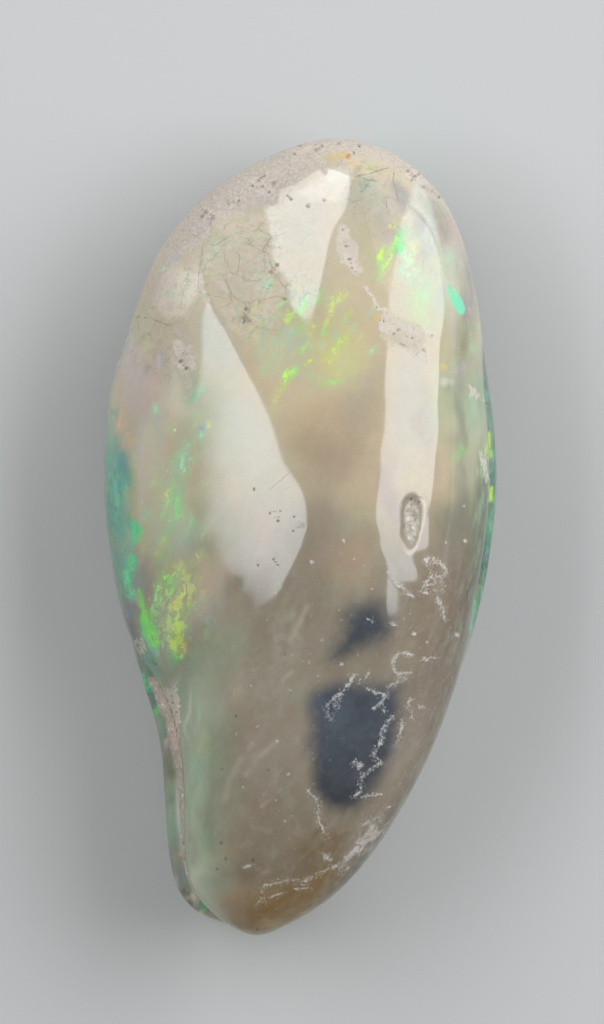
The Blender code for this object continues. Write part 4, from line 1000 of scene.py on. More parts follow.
    # where the polish is lost
    matte = 1 - ease_step(-6, 2, polygon(sx, sy, MATTE))
    matte = np.maximum(matte, .9 * (1 - ease_step(-2, 6, polygon(sx, sy, FACET))))
    matte = np.maximum(matte, .9 * (1 - ease_step(.7, 1.2, oval(sx, sy, 162, 290, 36, 56, 20))))
    matte = np.maximum(matte, 1.6 * (1 - ease_step(.92, 1.12, pit_oval(px, py, p))))
    matte = np.maximum(matte, 1 - ease_step(-5, 2, polygon(sx, sy, MATTE_RIGHT)))
    matte = np.maximum(matte, .9 * ease_step(.35, .9, dust))
    matte = np.maximum(matte, 1 - ease_step(-3, 3, polygon(sx, sy, TAN_STRIP)))
    matte = np.maximum(matte, .9 * ease_step(427, 445, sx - .10 * (sy - 200)) * (1 - ease_step(290, 372, sy)))
    matte = np.maximum(matte, .85 * (1 - ease_step(.6, 1.1, oval(sx, sy, 403, 334, 26, 17, 28))))
    turned_down = (1 - ease_step(.20, .80, up)) * np.maximum(ease_step(440, 520, py), ease_step(300, 360, py) * ease_step(430, 450, px))
    return tint, amount, colour, pastel, window, craze, wear, dust, matte, turned_down


# ============================================================ front valve mesh
rho, theta = grid_on_disk(228, 380)
r = around(RADII, theta) * even_reach(rho)
gx, gy = CENTRE[0] + r * np.cos(theta), CENTRE[1] + r * np.sin(theta)
flat_x, flat_y = gx.ravel(), gy.ravel()
height = np.concatenate([front_face(flat_x[k:k + 20000], flat_y[k:k + 20000])
                         + trims(flat_x[k:k + 20000], flat_y[k:k + 20000]) @ TRIM_SIZES
                         for k in range(0, len(flat_x), 20000)]).reshape(gx.shape)
face = np.stack([gx, gy, height], -1)
face_normal = grid_normals(face)
face_px, face_py = view_xy(face)
inner = 1 - ease_step(.985, 1.0, rho)
relief = front_relief(face_px.ravel(), face_py.ravel(), face.reshape(-1, 3)).reshape(rho.shape)
face = face + face_normal * (relief * inner)[..., None]

loop = edge_loop(*[k - 1 for k in rho.shape])
rim_angle = theta.ravel()[loop]
ledge = around(LEDGES, rim_angle)
# the groove is open at the lower left and nearly closed elsewhere
groove = .13 + .34 * ease_step(.3, .9, ledge) + .07 * (noise(np.stack([9 * np.cos(rim_angle), 9 * np.sin(rim_angle), 0 * rim_angle], -1), 1.6, 3) - .5)
rim_noise = noise(np.stack([30 * np.cos(rim_angle), 30 * np.sin(rim_angle), 0 * rim_angle], -1), 1.1, 12) - .5


def front_lip(a):
    return seam_ring(rim_angle, -LIP_IN * (1 - np.cos(a)) + .05 * rim_noise * np.sin(a),
                     LIP_RISE - (LIP_RISE - groove) * np.sin(a))


rings = [front_lip(a) for a in np.radians((22, 44, 62, 78, 90))]
rings += [seam_ring(rim_angle, -LIP_IN - .55, groove * .8), seam_ring(rim_angle, -GROOVE_DEPTH, .10)]
front = shell("front_valve_opal", face, rings, (*CENTRE, float(seam_height(*CENTRE)) + .10))

points = np.zeros(len(front.data.vertices) * 3, np.float32)
front.data.vertices.foreach_get("co", points)
points = points.reshape(-1, 3).astype(float) / MM
normals = np.zeros(len(points) * 3, np.float32)
front.data.vertices.foreach_get("normal", normals)
up = np.abs(normals.reshape(-1, 3)[:, 2])
px, py = view_xy(points)
tint, fire, fire_tone, pastel, window, craze, wear, dust, matte, turned_down = paint_front(px, py, points, up)
put_colour(front, "tint", tint * WARM)
put_number(front, "fire", fire)
put_colour(front, "fire_tone", fire_tone * WARM)
put_number(front, "pastel", pastel)
put_number(front, "window", window)
put_number(front, "craze", craze)
put_number(front, "wear", wear)
put_number(front, "dust", dust)
put_number(front, "matte", matte)
put_number(front, "turned_down", turned_down)
put_number(front, "rock", rock_amount(px, py, points))
for label, table in (("crack", CRACKS), ("bruise", BRUISES), ("scratch", SCRATCHES)):
    plain, signed, half = strokes_nearest(px, py, table)
    half = half * {"crack": .85, "bruise": 1.05, "scratch": 1.0}[label]
    put_vector(front, label, np.stack([signed / half, plain, half], -1))
best, offset = np.full(px.shape, 60.0), np.full(px.shape + (3,), 60.0)
speck_tone = np.tile(TONES["dark"], (len(px), 1))
for name, radius, cx, cy in SPECKS:
    d = np.hypot(px - cx, py - cy)
    near = d < best
    best = np.where(near, d, best)
    size = radius * (1.35 if name == "white" else 1.1)
    offset[near] = np.stack([(px - cx) / size, (py - cy) / size, 0 * px + size], -1)[near]
    speck_tone[near] = TONES[name]
put_vector(front, "speck", offset)
put_number(front, "speck_near", best)
put_colour(front, "speck_tone", speck_tone)

# ============================================================ back valve mesh
rho, theta = grid_on_disk(196, 330)
wide_x, wide_y = plan(theta, around(LEDGES, theta))
wide_z = seam_height(wide_x, wide_y) - SHOULDER_DROP
f = even_reach(rho)
bx, by = BELLY[0] + (wide_x - BELLY[0]) * f, BELLY[1] + (wide_y - BELLY[1]) * f
belly_depth = float(seam_height(*BELLY)) - SHOULDER_DROP + BELLY_CUT
bz = seam_height(bx, by) - SHOULDER_DROP - belly_depth * np.sqrt(np.clip(1 - f * f, 0, 1))
belly = np.stack([bx, by, bz], -1)
belly_normal = -grid_normals(belly)


def back_rock(p):
    """Where rock still clings to the back valve."""
    out = np.zeros(p.shape[:-1])
    for strength, cx, cy, rx, ry, turn in (
            (.95, 3.5, 15.5, 3.6, 2.2, 25), (.9, -5.5, -8.0, 1.6, 3.6, -15), (.85, 5.2, -7.5, 1.3, 2.8, 20),
            (.9, -1.0, -18.5, 1.5, 2.4, 0), (.8, -8.0, 10.0, 1.2, 2.6, -20), (.85, 0.5, 20.0, 5.0, 1.3, 5)):
        wob = oval(p[..., 0] + 1.2 * (noise(p, 1.2, 81) - .5), p[..., 1] + 1.2 * (noise(p, 1.2, 82) - .5),
                   cx, cy, rx, ry, turn)
        out = np.maximum(out, strength * (1 - ease_step(.55, 1.15, wob)))
    return out


flat_belly = belly.reshape(-1, 3)
stuck = ease_step(.45, .7, back_rock(flat_belly) + (layered(flat_belly, .5, 3, 8) - .5) * .5)
coarse, _ = grains(flat_belly, .45, 61)
lines = f.ravel() + .012 * (noise(flat_belly, 4.0, 90) - .5)
growth = .020 * np.sin(lines * 46 + 3.0 * np.sin(lines * 9)) * ease_step(.35, .75, lines)
growth = growth * (.35 + .9 * noise(flat_belly, 6.0, 91))
relief = growth * (1 - stuck) + stuck * (.035 - .07 * (coarse - .5)) + .006 * (layered(flat_belly, 2.5, 3, 92) - .5)
for cx, cy, radius, depth in ((-3.2, 6.5, .9, .10), (2.2, -12.5, .5, .12), (5.8, 5.0, .45, .10),
                              (-6.4, 1.2, .4, .12), (-2.2, 14.8, .6, .10), (7.4, -1.5, .35, .08),
                              (1.0, -5.0, .5, .0), (-4.0, -13.8, .4, .10)):
    relief = relief - depth * (1 - ease_step(.3, 1, np.hypot(flat_belly[:, 0] - cx, flat_belly[:, 1] - cy) / radius))
relief = relief.reshape(rho.shape) * (1 - ease_step(.985, 1.0, rho)) * ease_step(0.0, .5, bz)
belly = belly + belly_normal * relief[..., None]
belly[..., 2] = np.maximum(belly[..., 2], 0.0)

loop = edge_loop(*[k - 1 for k in rho.shape])
rim_angle = theta.ravel()[loop]
ledge = around(LEDGES, rim_angle)
groove = .13 + .34 * ease_step(.3, .9, ledge) + .07 * (noise(np.stack([9 * np.cos(rim_angle), 9 * np.sin(rim_angle), 0 * rim_angle], -1), 1.6, 4) - .5)
rim_noise = noise(np.stack([30 * np.cos(rim_angle), 30 * np.sin(rim_angle), 0 * rim_angle], -1), 1.1, 13) - .5


def back_shoulder(a):
    reach = LIP_IN + ledge
    return seam_ring(rim_angle, ledge - reach * (1 - np.cos(a)) + .06 * rim_noise * np.sin(a),
                     -SHOULDER_DROP + (SHOULDER_DROP - groove) * np.sin(a) + .05 * rim_noise * np.sin(2 * a))


rings = [back_shoulder(a) for a in np.radians((12, 24, 36, 48, 60, 72, 82, 90))]
rings += [seam_ring(rim_angle, -LIP_IN - .55, -groove * .8), seam_ring(rim_angle, -GROOVE_DEPTH, -.10)]
back = shell("back_valve_opal", belly, rings, (*CENTRE, float(seam_height(*CENTRE)) - .10), downward=True)

points = np.zeros(len(back.data.vertices) * 3, np.float32)
back.data.vertices.foreach_get("co", points)
points = points.reshape(-1, 3).astype(float) / MM
x, y, z = points.T
px, py = view_xy(points)
n = len(points)
wx, wy = x + 2.2 * (noise(points, 3.0, 21) - .5), y + 2.2 * (noise(points, 3.0, 22) - .5)
tint = np.tile(TONES["grey_green"], (n, 1))
for colour, strength, cx, cy, rx, ry, turn in (
        ("cream", .7, 1.5, 19.0, 9.0, 6.0, 0), ("beige", .7, 3.0, 10.0, 7.0, 8.0, 20),
        ("rosy", .5, -5.5, 12.0, 5.0, 6.0, 20), ("smoke", .8, 0.0, -8.0, 7.0, 9.0, 0),
        ("amber", .6, 0.5, 0.5, 5.0, 6.0, 30), ("deep_teal", .55, -8.5, 2.0, 3.0, 8.0, 0),
        ("teal", .50, 8.5, -1.0, 3.0, 9.0, 0), ("slate", .55, 4.0, -11.0, 3.0, 5.0, 20),
        ("pale_mint", .5, -5.0, -3.0, 4.0, 6.0, -20), ("honey", .6, -2.0, -20.5, 4.0, 4.0, 0)):
    brush(TONES[colour], tint, strength * (1 - ease_step(.2, 1.05, oval(wx, wy, cx, cy, rx, ry, turn))))
brush(TONES["deep_teal"], tint, .35 * ease_step(1.2, 3.6, z) * (1 - ease_step(4.2, 5.2, z)))
# the ledge that shows beside the seam
on_ledge = ease_step(2.6, 3.6, z) * ease_step(0.0, 1.0, 200 - px) * ease_step(652, 660, py)


def ledge_paint(colour, strength, cx, cy, rx, ry, turn=0.0):
    brush(TONES[colour], tint, strength * on_ledge * (1 - ease_step(.3, 1.1, oval(px, py, cx, cy, rx, ry, turn))))


seam_x = np.interp(py, (640, 660, 690, 720, 760, 850, 870, 890, 905, 921), (134, 146, 165, 176, 182, 185, 188, 194, 207, 224))
inward = 1 - ease_step(.5, 1.15, (seam_x - px + 5 * (noise(points, .7, 26) - .5)) / np.interp(py, (680, 700, 730, 750, 770, 790, 840, 856), (15, 16, 13, 10, 6, 4, 3, 1)))
ledge_paint("deep_teal", .75, 150, 690, 16, 50)
ledge_paint("glass", .75, 149, 668, 10, 13)
ledge_paint("glass", .60, 158, 722, 12, 26)
ledge_paint("mouse", .75, 166, 756, 12, 14)
ledge_paint("sea_grey", .85, 174, 786, 12, 18)
ledge_paint("olive", .7, 172, 774, 8, 5)
ledge_paint("glass", .80, 174, 822, 12, 30)
ledge_paint("ash", .50, 179, 812, 5, 46)
ledge_paint("putty", .85, 180, 856, 11, 12)
ledge_paint("violet", .60, 180, 878, 10, 11)
ledge_paint("ash", .75, 176, 884, 3, 12)
ledge_paint("ash", .80, 193, 898, 12, 8, 40)
ledge_paint("maroon", .90, 185, 893, 6, 3, 20)
ledge_paint("maroon", .80, 190, 903, 4, 4, 40)
ledge_paint("white", .80, 196, 897, 6, 2.2, 42)
ledge_paint("grey_green", .85, 212, 915, 16, 10)
ledge_paint("ash", .55, 216, 919, 14, 4)
amount, colour = np.zeros(n), np.tile(TONES["green"], (n, 1))
field = layered(np.stack([x, y, z * 1.6], -1), 2.6, 3, 24)
hue = layered(np.stack([x, y, z], -1), 4.5, 2, 25)
amount = .95 * ease_step(.54, .66, field) * (.45 + .55 * ease_step(.5, .85, f.max() * np.hypot((x - 0.3) / 11, (y - 2.2) / 21)))
for name, low, high in (("aqua", -1, .42), ("green", .42, .50), ("lime", .50, .55), ("teal", .55, .62), ("blue", .62, .70), ("pink", .70, 2)):
    pick = (hue >= low) & (hue < high)
    colour[pick] = TONES[name]
amount = amount * (1 - on_ledge * .92)
# what shows of it past the right side is calmer, jade and glassy
right_side = ease_step(470, 480, px) * ease_step(330, 400, py) * (1 - ease_step(640, 720, py)) * ease_step(1.6, 3.2, z)
amount = amount * (1 - .88 * right_side)
brush(TONES["deep_teal"], tint, .60 * right_side)
# painted shade: the part that shows past the right side is darkened towards its lower end
tint *= (1 - .42 * right_side * ease_step(510, 570, py))[:, None]
for name, half, spots in (("green", 2.6, [(148, 684), (157, 683)]), ("jade", 3.0, [(142, 676), (150, 690)]), ("green", 2.2, [(155, 713), (158, 708)]),
                          ("mint", 1.4, [(202, 911), (203, 912)]), ("lime", 2.4, [(490, 488), (491, 500)]),
                          ("lime", 3.2, [(488, 434), (489, 456)]), ("jade", 3, [(489, 516), (490, 552)])):
    d = path_distance(px, py, spots)[0]
    a = np.maximum(.8 * on_ledge, (.80 if name == "lime" else .42) * right_side) * (1 - ease_step(half * .5, half * 1.2 + 1.5, d))
    stronger = a > amount
    amount, colour = np.where(stronger, a, amount), np.where(stronger[:, None], TONES[name], colour)
brush(TONES["jade"], colour, .6 * right_side * (hue > .60))
# its play of colour is darkened by the same painted shade
colour = colour * (1 - .30 * right_side * ease_step(510, 570, py))[:, None]
put_number(back, "turned_down", .9 * right_side)
put_colour(back, "tint", tint * WARM)
put_number(back, "fire", amount)
put_colour(back, "fire_tone", colour * WARM)
put_number(back, "pastel", (.45 + .35 * ease_step(1.0, 4.0, z)) * (1 - .7 * on_ledge))
put_number(back, "window", .8 * (1 - ease_step(.5, 1.05, oval(wx, wy, 4.2, -12.0, 1.8, 3.0, 20))))
put_number(back, "craze", .7 * (1 - ease_step(.4, 1.1, oval(wx, wy, 1.0, 16.5, 7.5, 6.5, 0))))
put_number(back, "wear", .4 + .6 * ease_step(5, -15, y))
stuck = back_rock(points)
granular = on_ledge * ease_step(672, 684, py) * (1 - ease_step(838, 856, py)) * inward
# values above 1 brighten the stone there as painted light against the ledge's shade
stuck = np.maximum(stuck, 1.25 * granular)
for cx, cy, rx, ry, turn in ((180, 852, 7, 4, 20), (214, 919, 14, 3, 20), (166, 742, 3, 9, 0)):
    stuck = np.maximum(stuck, .66 * on_ledge * (1 - ease_step(.4, 1.1, oval(px, py, cx, cy, rx, ry, turn))))
put_number(back, "rock", stuck)
put_number(back, "dust", .8 * np.clip(stuck, 0, 1) + .5 * (1 - ease_step(.4, 1.1, oval(wx, wy, 1.0, 18.5, 7.0, 4.0, 0))))
put_number(back, "matte", np.maximum(.6 * on_ledge, .8 * (1 - ease_step(.4, 1.1, oval(wx, wy, 1.0, 16.5, 8.0, 6.5, 0)))))

# ================================================================ matrix mesh
COUNT, ACROSS = 1500, 26
fine = np.linspace(0, 2 * np.pi, 4 * N_TABLE, endpoint=False)
fx, fy = plan(fine)
step = np.hypot(np.roll(fx, -1) - fx, np.roll(fy, -1) - fy)
length = np.concatenate([[0.0], np.cumsum(step)])
turn = np.interp(np.arange(COUNT) * length[-1] / COUNT, length, np.append(fine, 2 * np.pi))
ledge = around(LEDGES, turn)
wide = ease_step(.3, .9, ledge)
half = .15 + .36 * wide
outer = -.30 + .42 * wide
net = []
for k in range(ACROSS):
    a = 2 * np.pi * k / ACROSS
    c, s = np.cos(a), np.sin(a)
    sx, sy = np.sign(c) * abs(c) ** .6, np.sign(s) * abs(s) ** .6
    middle, reach = (outer - 1.30) / 2, (outer + 1.30) / 2
    lean = -.22 * wide * max(c, 0)
    net.append(seam_ring(turn, middle + reach * sx, half * sy + lean))
net = np.array(net)
out_dir = net - net.mean(0)
out_dir /= np.maximum(np.linalg.norm(out_dir, axis=-1, keepdims=True), 1e-9)
flat_net = net.reshape(-1, 3)
coarse, tag = grains(flat_net, .26, 70)
rough = .07 * (.55 - coarse) + .10 * (layered(flat_net, .9, 3, 75) - .5)
flat_net = flat_net + out_dir.reshape(-1, 3) * rough[:, None]
k, i = np.meshgrid(np.arange(ACROSS), np.arange(COUNT), indexing="ij")
a, b = (k * COUNT + i).ravel(), (((k + 1) % ACROSS) * COUNT + i).ravel()
c, d = (((k + 1) % ACROSS) * COUNT + (i + 1) % COUNT).ravel(), (k * COUNT + (i + 1) % COUNT).ravel()
matrix = make_mesh("seam_matrix_rock", flat_net, np.stack([a, d, c, b], -1))
put_number(matrix, "relief", np.clip(.5 + rough * 4, 0, 1))


# ================================================================== materials
class Surface:
    """A small kit for wiring a material's nodes."""

    def __init__(self, name):
        self.material = bpy.data.materials.new(name)
        self.material.use_nodes = True
        self.tree = self.material.node_tree
        self.shader = self.tree.nodes["Principled BSDF"]
        place = self.node("ShaderNodeTexCoord")
        self.mm = self.vector("SCALE", place.outputs["Object"], scale=1000.0)

    def node(self, kind, **settings):
        made = self.tree.nodes.new(kind)
        for key, value in settings.items():
            setattr(made, key, value)
        return made

    def put(self, socket, value):
        if isinstance(value, bpy.types.NodeSocket):
            self.tree.links.new(value, socket)
        elif isinstance(value, (tuple, list, np.ndarray)):
            value = [float(v) for v in value]
            socket.default_value = value + [1.0] if len(socket.default_value) == 4 and len(value) == 3 else value
        else:
            socket.default_value = value

    def math(self, how, a, b=0.0, c=0.0, clamp=False):
        made = self.node("ShaderNodeMath", operation=how, use_clamp=clamp)
        for socket, value in zip(made.inputs, (a, b, c)):
            self.put(socket, value)
        return made.outputs[0]

    def add(self, a, b): return self.math("ADD", a, b)
    def sub(self, a, b): return self.math("SUBTRACT", a, b)
    def mul(self, a, b): return self.math("MULTIPLY", a, b)
    def top(self, a, b): return self.math("MAXIMUM", a, b)

    def vector(self, how, a, b=(0.0, 0.0, 0.0), scale=1.0):
        made = self.node("ShaderNodeVectorMath", operation=how)
        self.put(made.inputs[0], a)
        self.put(made.inputs[1], b)
        if how == "SCALE":
            self.put(made.inputs["Scale"], scale)
        return made.outputs["Value"] if how in ("LENGTH", "DISTANCE") else made.outputs["Vector"]

    def split(self, a):
        made = self.node("ShaderNodeSeparateXYZ")
        self.put(made.inputs[0], a)
        return made.outputs

    def attr(self, name, what="Fac"):
        return self.node("ShaderNodeAttribute", attribute_type="GEOMETRY", attribute_name=name).outputs[what]

    def noise(self, per_mm, detail=2.0, rough=0.5, where=None, warp=0.0, colour=False):
        made = self.node("ShaderNodeTexNoise")
        self.put(made.inputs["Vector"], self.mm if where is None else where)
        self.put(made.inputs["Scale"], per_mm)
        self.put(made.inputs["Detail"], detail)
        self.put(made.inputs["Roughness"], rough)
        self.put(made.inputs["Distortion"], warp)
        return made.outputs["Color" if colour else "Fac"]

    def cells(self, per_mm, feature="F1", where=None, jitter=1.0):
        made = self.node("ShaderNodeTexVoronoi", feature=feature)
        self.put(made.inputs["Vector"], self.mm if where is None else where)
        self.put(made.inputs["Scale"], per_mm)
        self.put(made.inputs["Randomness"], jitter)
        return made.outputs

    def between(self, value, low, high, to_low=0.0, to_high=1.0):
        made = self.node("ShaderNodeMapRange", interpolation_type="SMOOTHSTEP")
        for key, v in (("Value", value), ("From Min", low), ("From Max", high),
                       ("To Min", to_low), ("To Max", to_high)):
            self.put(made.inputs[key], v)
        return made.outputs["Result"]

    def mix(self, amount, a, b, how="MIX"):
        made = self.node("ShaderNodeMix", data_type="RGBA", blend_type=how, clamp_factor=True)
        self.put(made.inputs[0], amount)
        self.put(made.inputs[6], a)
        self.put(made.inputs[7], b)
        return made.outputs[2]

    def ramp(self, value, stops, how="LINEAR"):
        made = self.node("ShaderNodeValToRGB")
        made.color_ramp.interpolation = how
        while len(made.color_ramp.elements) < len(stops):
            made.color_ramp.elements.new(0.5)
        for element, (at, colour) in zip(made.color_ramp.elements, stops):
            element.position = at
            element.color = (*[float(v) for v in colour], 1.0)
        self.put(made.inputs[0], value)
        return made.outputs["Color"]

    def bump(self, height, distance=MM):
        made = self.node("ShaderNodeBump")
        self.put(made.inputs["Strength"], 1.0)
        self.put(made.inputs["Distance"], distance)
        self.put(made.inputs["Height"], height)
        return made.outputs["Normal"]


def turned(s, degrees, stretch):
    """Coordinates turned about Z, then stretched."""
    spun = s.node("ShaderNodeVectorRotate", rotation_type="Z_AXIS")
    s.put(spun.inputs["Vector"], s.mm)
    spun.inputs["Angle"].default_value = math.radians(degrees)
    return s.vector("MULTIPLY", spun.outputs["Vector"], stretch)


def rock_look(s, size=6.0, pale=0.0):
    """Sandy rock: a colour and a height for each grain."""
    place = s.vector("ADD", s.mm, s.vector("SCALE", s.noise(3.0, 2.0, colour=True), scale=.25))
    grain = s.cells(size, where=place)
    pick = s.split(grain["Color"])
    calm = tone(222, 209, 194)

    def soft(colour):
        return colour * (1 - pale) + calm * pale

    base = s.ramp(pick[0], [(0.0, soft(TONES["rosy"] * .88)), (.35, soft(TONES["bone"])), (.6, soft(TONES["fawn"])),
                            (.8, soft(TONES["pink"] * .92)), (.93, soft(TONES["white"]))], "CONSTANT")
    patches = s.noise(1.1, 3.0)
    base = s.mix(s.between(patches, .45, .68, 0.0, .40 - .2 * pale), base, TONES["fawn"] * .90)
    dark = s.mul(s.between(pick[1], .91 + .03 * pale, .93 + .03 * pale), s.between(s.noise(.9, 2.0), .42, .60, .30, 1.0 - .25 * pale))
    base = s.mix(dark, base, s.ramp(pick[2], [(0.0, TONES["mouse"]), (.4, TONES["maroon"]), (.6, TONES["dark"]), (.8, TONES["mouse"]), (.93, TONES["rust"])], "CONSTANT"))
    edge = s.between(grain["Distance"], .30, .62)
    base = s.mix(s.mul(edge, .28 - .26 * pale), base, TONES["mouse"])
    rise = s.sub(1.0, s.math("MULTIPLY", grain["Distance"], 1.3))
    return base, s.add(s.mul(rise, .045 - .02 * pale), s.mul(s.noise(14.0, 2.0), .02))


def opal_look(name, marks):
    """Polished milky opal with its play of colour, crazing, rock and wear."""
    s = Surface(name)
    colour = s.attr("tint", "Color")
    # cloudiness of the milky body, and soft streaks that run along the shell
    streak = turned(s, 14.0, (1.1, .38, 1.0))
    cloud = s.add(s.mul(s.noise(.45, 3.0, .55), .14), s.add(s.mul(s.noise(1.7, 3.0, .6), .15), s.mul(s.noise(7.0, 2.0, .6), .13)))
    cloud = s.add(cloud, s.mul(s.noise(1.0, 3.0, .55, where=streak), .05))
    colour = s.mix(1.0, colour, s.add(cloud, .765), "MULTIPLY")
    pastel = s.attr("pastel")
    colour = s.mix(s.between(s.noise(.9, 3.0, where=streak, warp=.5), .45, .75, 0.0, .10), colour, TONES["bone"] * .84)
    drift = s.noise(.8, 3.0, .6, where=s.vector("ADD", streak, (31.0, 7.0, 3.0)))
    colour = s.mix(s.mul(s.between(drift, .46, .70), s.add(s.mul(pastel, .34), .05)), colour, TONES["pale_mint"] * .92)
    drift = s.noise(1.1, 3.0, .6, where=s.vector("ADD", streak, (3.0, 57.0, 9.0)))
    colour = s.mix(s.mul(s.between(drift, .56, .72), s.mul(pastel, .34)), colour, TONES["lilac"] * .92)

    # faint play of colour: little patches, each with a hue of its own
    lean = turned(s, 16.0, (1.0, .50, .8))
    stir = s.noise(2.6, 3.0, colour=True)
    jag = s.vector("ADD", lean, s.vector("SCALE", stir, scale=.7))
    chips = s.cells(2.6, where=jag)
    chip = s.split(chips["Color"])
    hue = s.ramp(s.add(s.mul(s.noise(.5, 2.0, where=lean), 1.3), s.sub(s.mul(chip[0], .6), .45)),
                 [(0.0, TONES["lilac"]), (.20, TONES["aqua"]), (.36, TONES["mint"]), (.52, TONES["spring"]),
                  (.66, TONES["pear"]), (.80, TONES["peach"]), (.92, TONES["pink"])])
    veil = s.mul(pastel, s.between(s.noise(1.1, 3.0, .6, where=s.vector("ADD", lean, (9.0, 4.0, 2.0))), .46, .66))
    colour = s.mix(s.mul(veil, .20), colour, hue)
    shown = s.mul(pastel, s.mul(s.between(chip[1], .62, .92), s.between(s.noise(1.6, 3.0, .6, where=lean), .46, .62)))
    colour = s.mix(s.mul(shown, .34), colour, hue)

    # bright play of colour: a soft glow, broken into fine chips where it is strong
    fire, fire_tone = s.attr("fire"), s.attr("fire_tone", "Color")
    colour = s.mix(s.mul(fire, .50), colour, s.mix(1.0, fire_tone, s.add(s.mul(s.noise(3.2, 3.0, .6, where=lean), .45), .78), "MULTIPLY"))
    mosaic = s.cells(3.3, where=jag)
    tile = s.split(mosaic["Color"])
    fine = s.add(s.mul(s.noise(2.6, 3.0, .6, where=jag), 1.0), s.mul(s.sub(tile[0], .5), .34))
    broken = s.add(s.mul(fire, .46), s.mul(s.sub(fine, .5), 1.15))
    sharp = s.mul(s.between(broken, .22, .46), s.between(fire, .14, .60))
    shift = s.ramp(tile[1], [(0.0, TONES["aqua"]), (.35, TONES["green"]), (.65, TONES["lime"]), (1.0, TONES["yellow"])])
    bright = s.mix(1.0, fire_tone, s.add(s.mul(tile[2], .26), 1.0), "MULTIPLY")
    colour = s.mix(s.mul(sharp, .74), colour, s.mix(.14, bright, shift))

    # windows of clear dark opal
    window = s.attr("window")
    seen = s.between(s.add(window, s.mul(s.sub(s.noise(1.3, 3.0, .55), .5), .16)), .04, .96)
    deep = s.mix(s.between(s.noise(.30, 2.0), .42, .62), TONES["slate"], TONES["ink"])
    deep = s.mix(s.between(s.noise(.45, 3.0, where=s.vector("ADD", s.mm, (5.0, 60.0, 2.0))), .50, .72, 0.0, .45), deep, TONES["steel"] * .80)
    deep = s.mix(1.0, deep, s.add(s.mul(s.noise(2.5, 2.0, .6), .26), .74), "MULTIPLY")
    down = s.split(s.mm)[1]
    deep = s.mix(s.mul(s.between(down, -16.0, -10.5), s.between(s.noise(.35, 2.0), .35, .65, .10, .38)), deep, tone(72, 86, 92))
    deep = s.mix(1.0, deep, s.mul(s.between(down, -15.5, -9.0, .72, 1.28), s.between(down, -8.5, -6.5, 1.0, .68)), "MULTIPLY")
    colour = s.mix(s.mul(seen, .94), colour, deep)

    # crazing: a net of hairline cracks
    craze = s.attr("craze")
    bent = s.vector("ADD", s.mm, s.vector("SCALE", s.noise(1.3, 4.0, .6, colour=True), scale=1.1))
    net_a = s.between(s.cells(.55, "DISTANCE_TO_EDGE", where=bent)["Distance"], .004, .034, 1.0, 0.0)
    crazed = s.mul(craze, s.mul(net_a, s.between(s.noise(1.4, 3.0), .40, .58)))
    colour = s.mix(s.mul(craze, .10), colour, TONES["cream"])
    colour = s.mix(s.mul(craze, .08), colour, TONES["tan"])
    blotch = s.noise(1.5, 3.0, .62, where=s.vector("ADD", s.mm, (12.0, 3.0, 40.0)))
    colour = s.mix(s.mul(craze, s.between(blotch, .50, .64, 0.0, .44)), colour, TONES["sage"] * .84)
    colour = s.mix(s.mul(craze, s.between(blotch, .36, .48, .38, 0.0)), colour, TONES["fawn"] * .84)
    blotch = s.noise(1.9, 3.0, .6, where=s.vector("ADD", s.mm, (2.0, 33.0, 14.0)))
    colour = s.mix(s.mul(craze, s.between(blotch, .52, .64, 0.0, .40)), colour, TONES["bone"] * .96)
    colour = s.mix(s.mul(crazed, .50), colour, TONES["hairline"] * .80)

    # fine pale dust and clinging rock
    dust = s.attr("dust")
    grit = s.noise(9.0, 3.0, .7)
    sand = s.noise(5.0, 3.0, .72)
    stone = rock_look(s, 6.0, .88 if marks else .1)[0]
    pale = s.between(s.add(dust, s.mul(s.sub(s.noise(2.6, 4.0, .65), .5), 1.0)), .15, .95)
    powder = s.mix(s.between(sand, .34, .66), TONES["rosy"] * .72, TONES["bone"] * 1.06)
    powder = s.mix(s.between(s.noise(1.3, 3.0), .5, .7, 0.0, .28), powder, TONES["lilac"] * .92)
    specks = s.cells(4.6)
    mote = s.mul(s.between(specks["Distance"], .18, .34, 1.0, 0.0), s.between(s.split(specks["Color"])[0], .70, .76))
    mote = s.mul(mote, s.between(s.noise(1.0, 3.0, .6, where=s.vector("ADD", s.mm, (4.0, 8.0, 6.0))), .46, .60))
    powder = s.mix(s.mul(mote, .50), powder, TONES["mouse"] * .78)
    colour = s.mix(s.mul(pale, .66), colour, powder)
    rock = s.attr("rock")
    rocky = s.between(s.add(rock, s.mul(s.sub(s.noise(3.6, 4.0, .65), .5), 1.25)), .38, .80)
    colour = s.mix(s.mul(s.between(rock, .1, .6), .16), colour, TONES["bone"] * .95)
    # painted light: where the rock value passes .85, along the seam band and the ledge, the stone is brightened by up
    # to a quarter against the ledge's shade
    stone = s.mix(1.0, stone, s.between(rock, .85, 1.25, 1.0, 1.25), "MULTIPLY")
    colour = s.mix(s.mul(rocky, .80), colour, stone)
    rise = s.mul(s.between(rock, .30, .80), s.mul(grit, .030) if marks else s.mul(s.sub(1.0, s.cells(6.0)["Distance"]), .040))
    dull = s.top(rocky, s.mul(pale, .7))

    if marks:
        def line(label, ragged, soft=.55, fine=3.2):
            place = s.split(s.attr(label, "Vector"))
            wander = s.mul(s.sub(s.noise(fine, 3.0), .5), ragged)
            across = s.math("ABSOLUTE", s.add(place[0], wander))
            return s.mul(s.between(across, 1.0 - soft, 1.0 + soft, 1.0, 0.0), s.between(place[1], 2.6, 4.6, 1.0, 0.0))

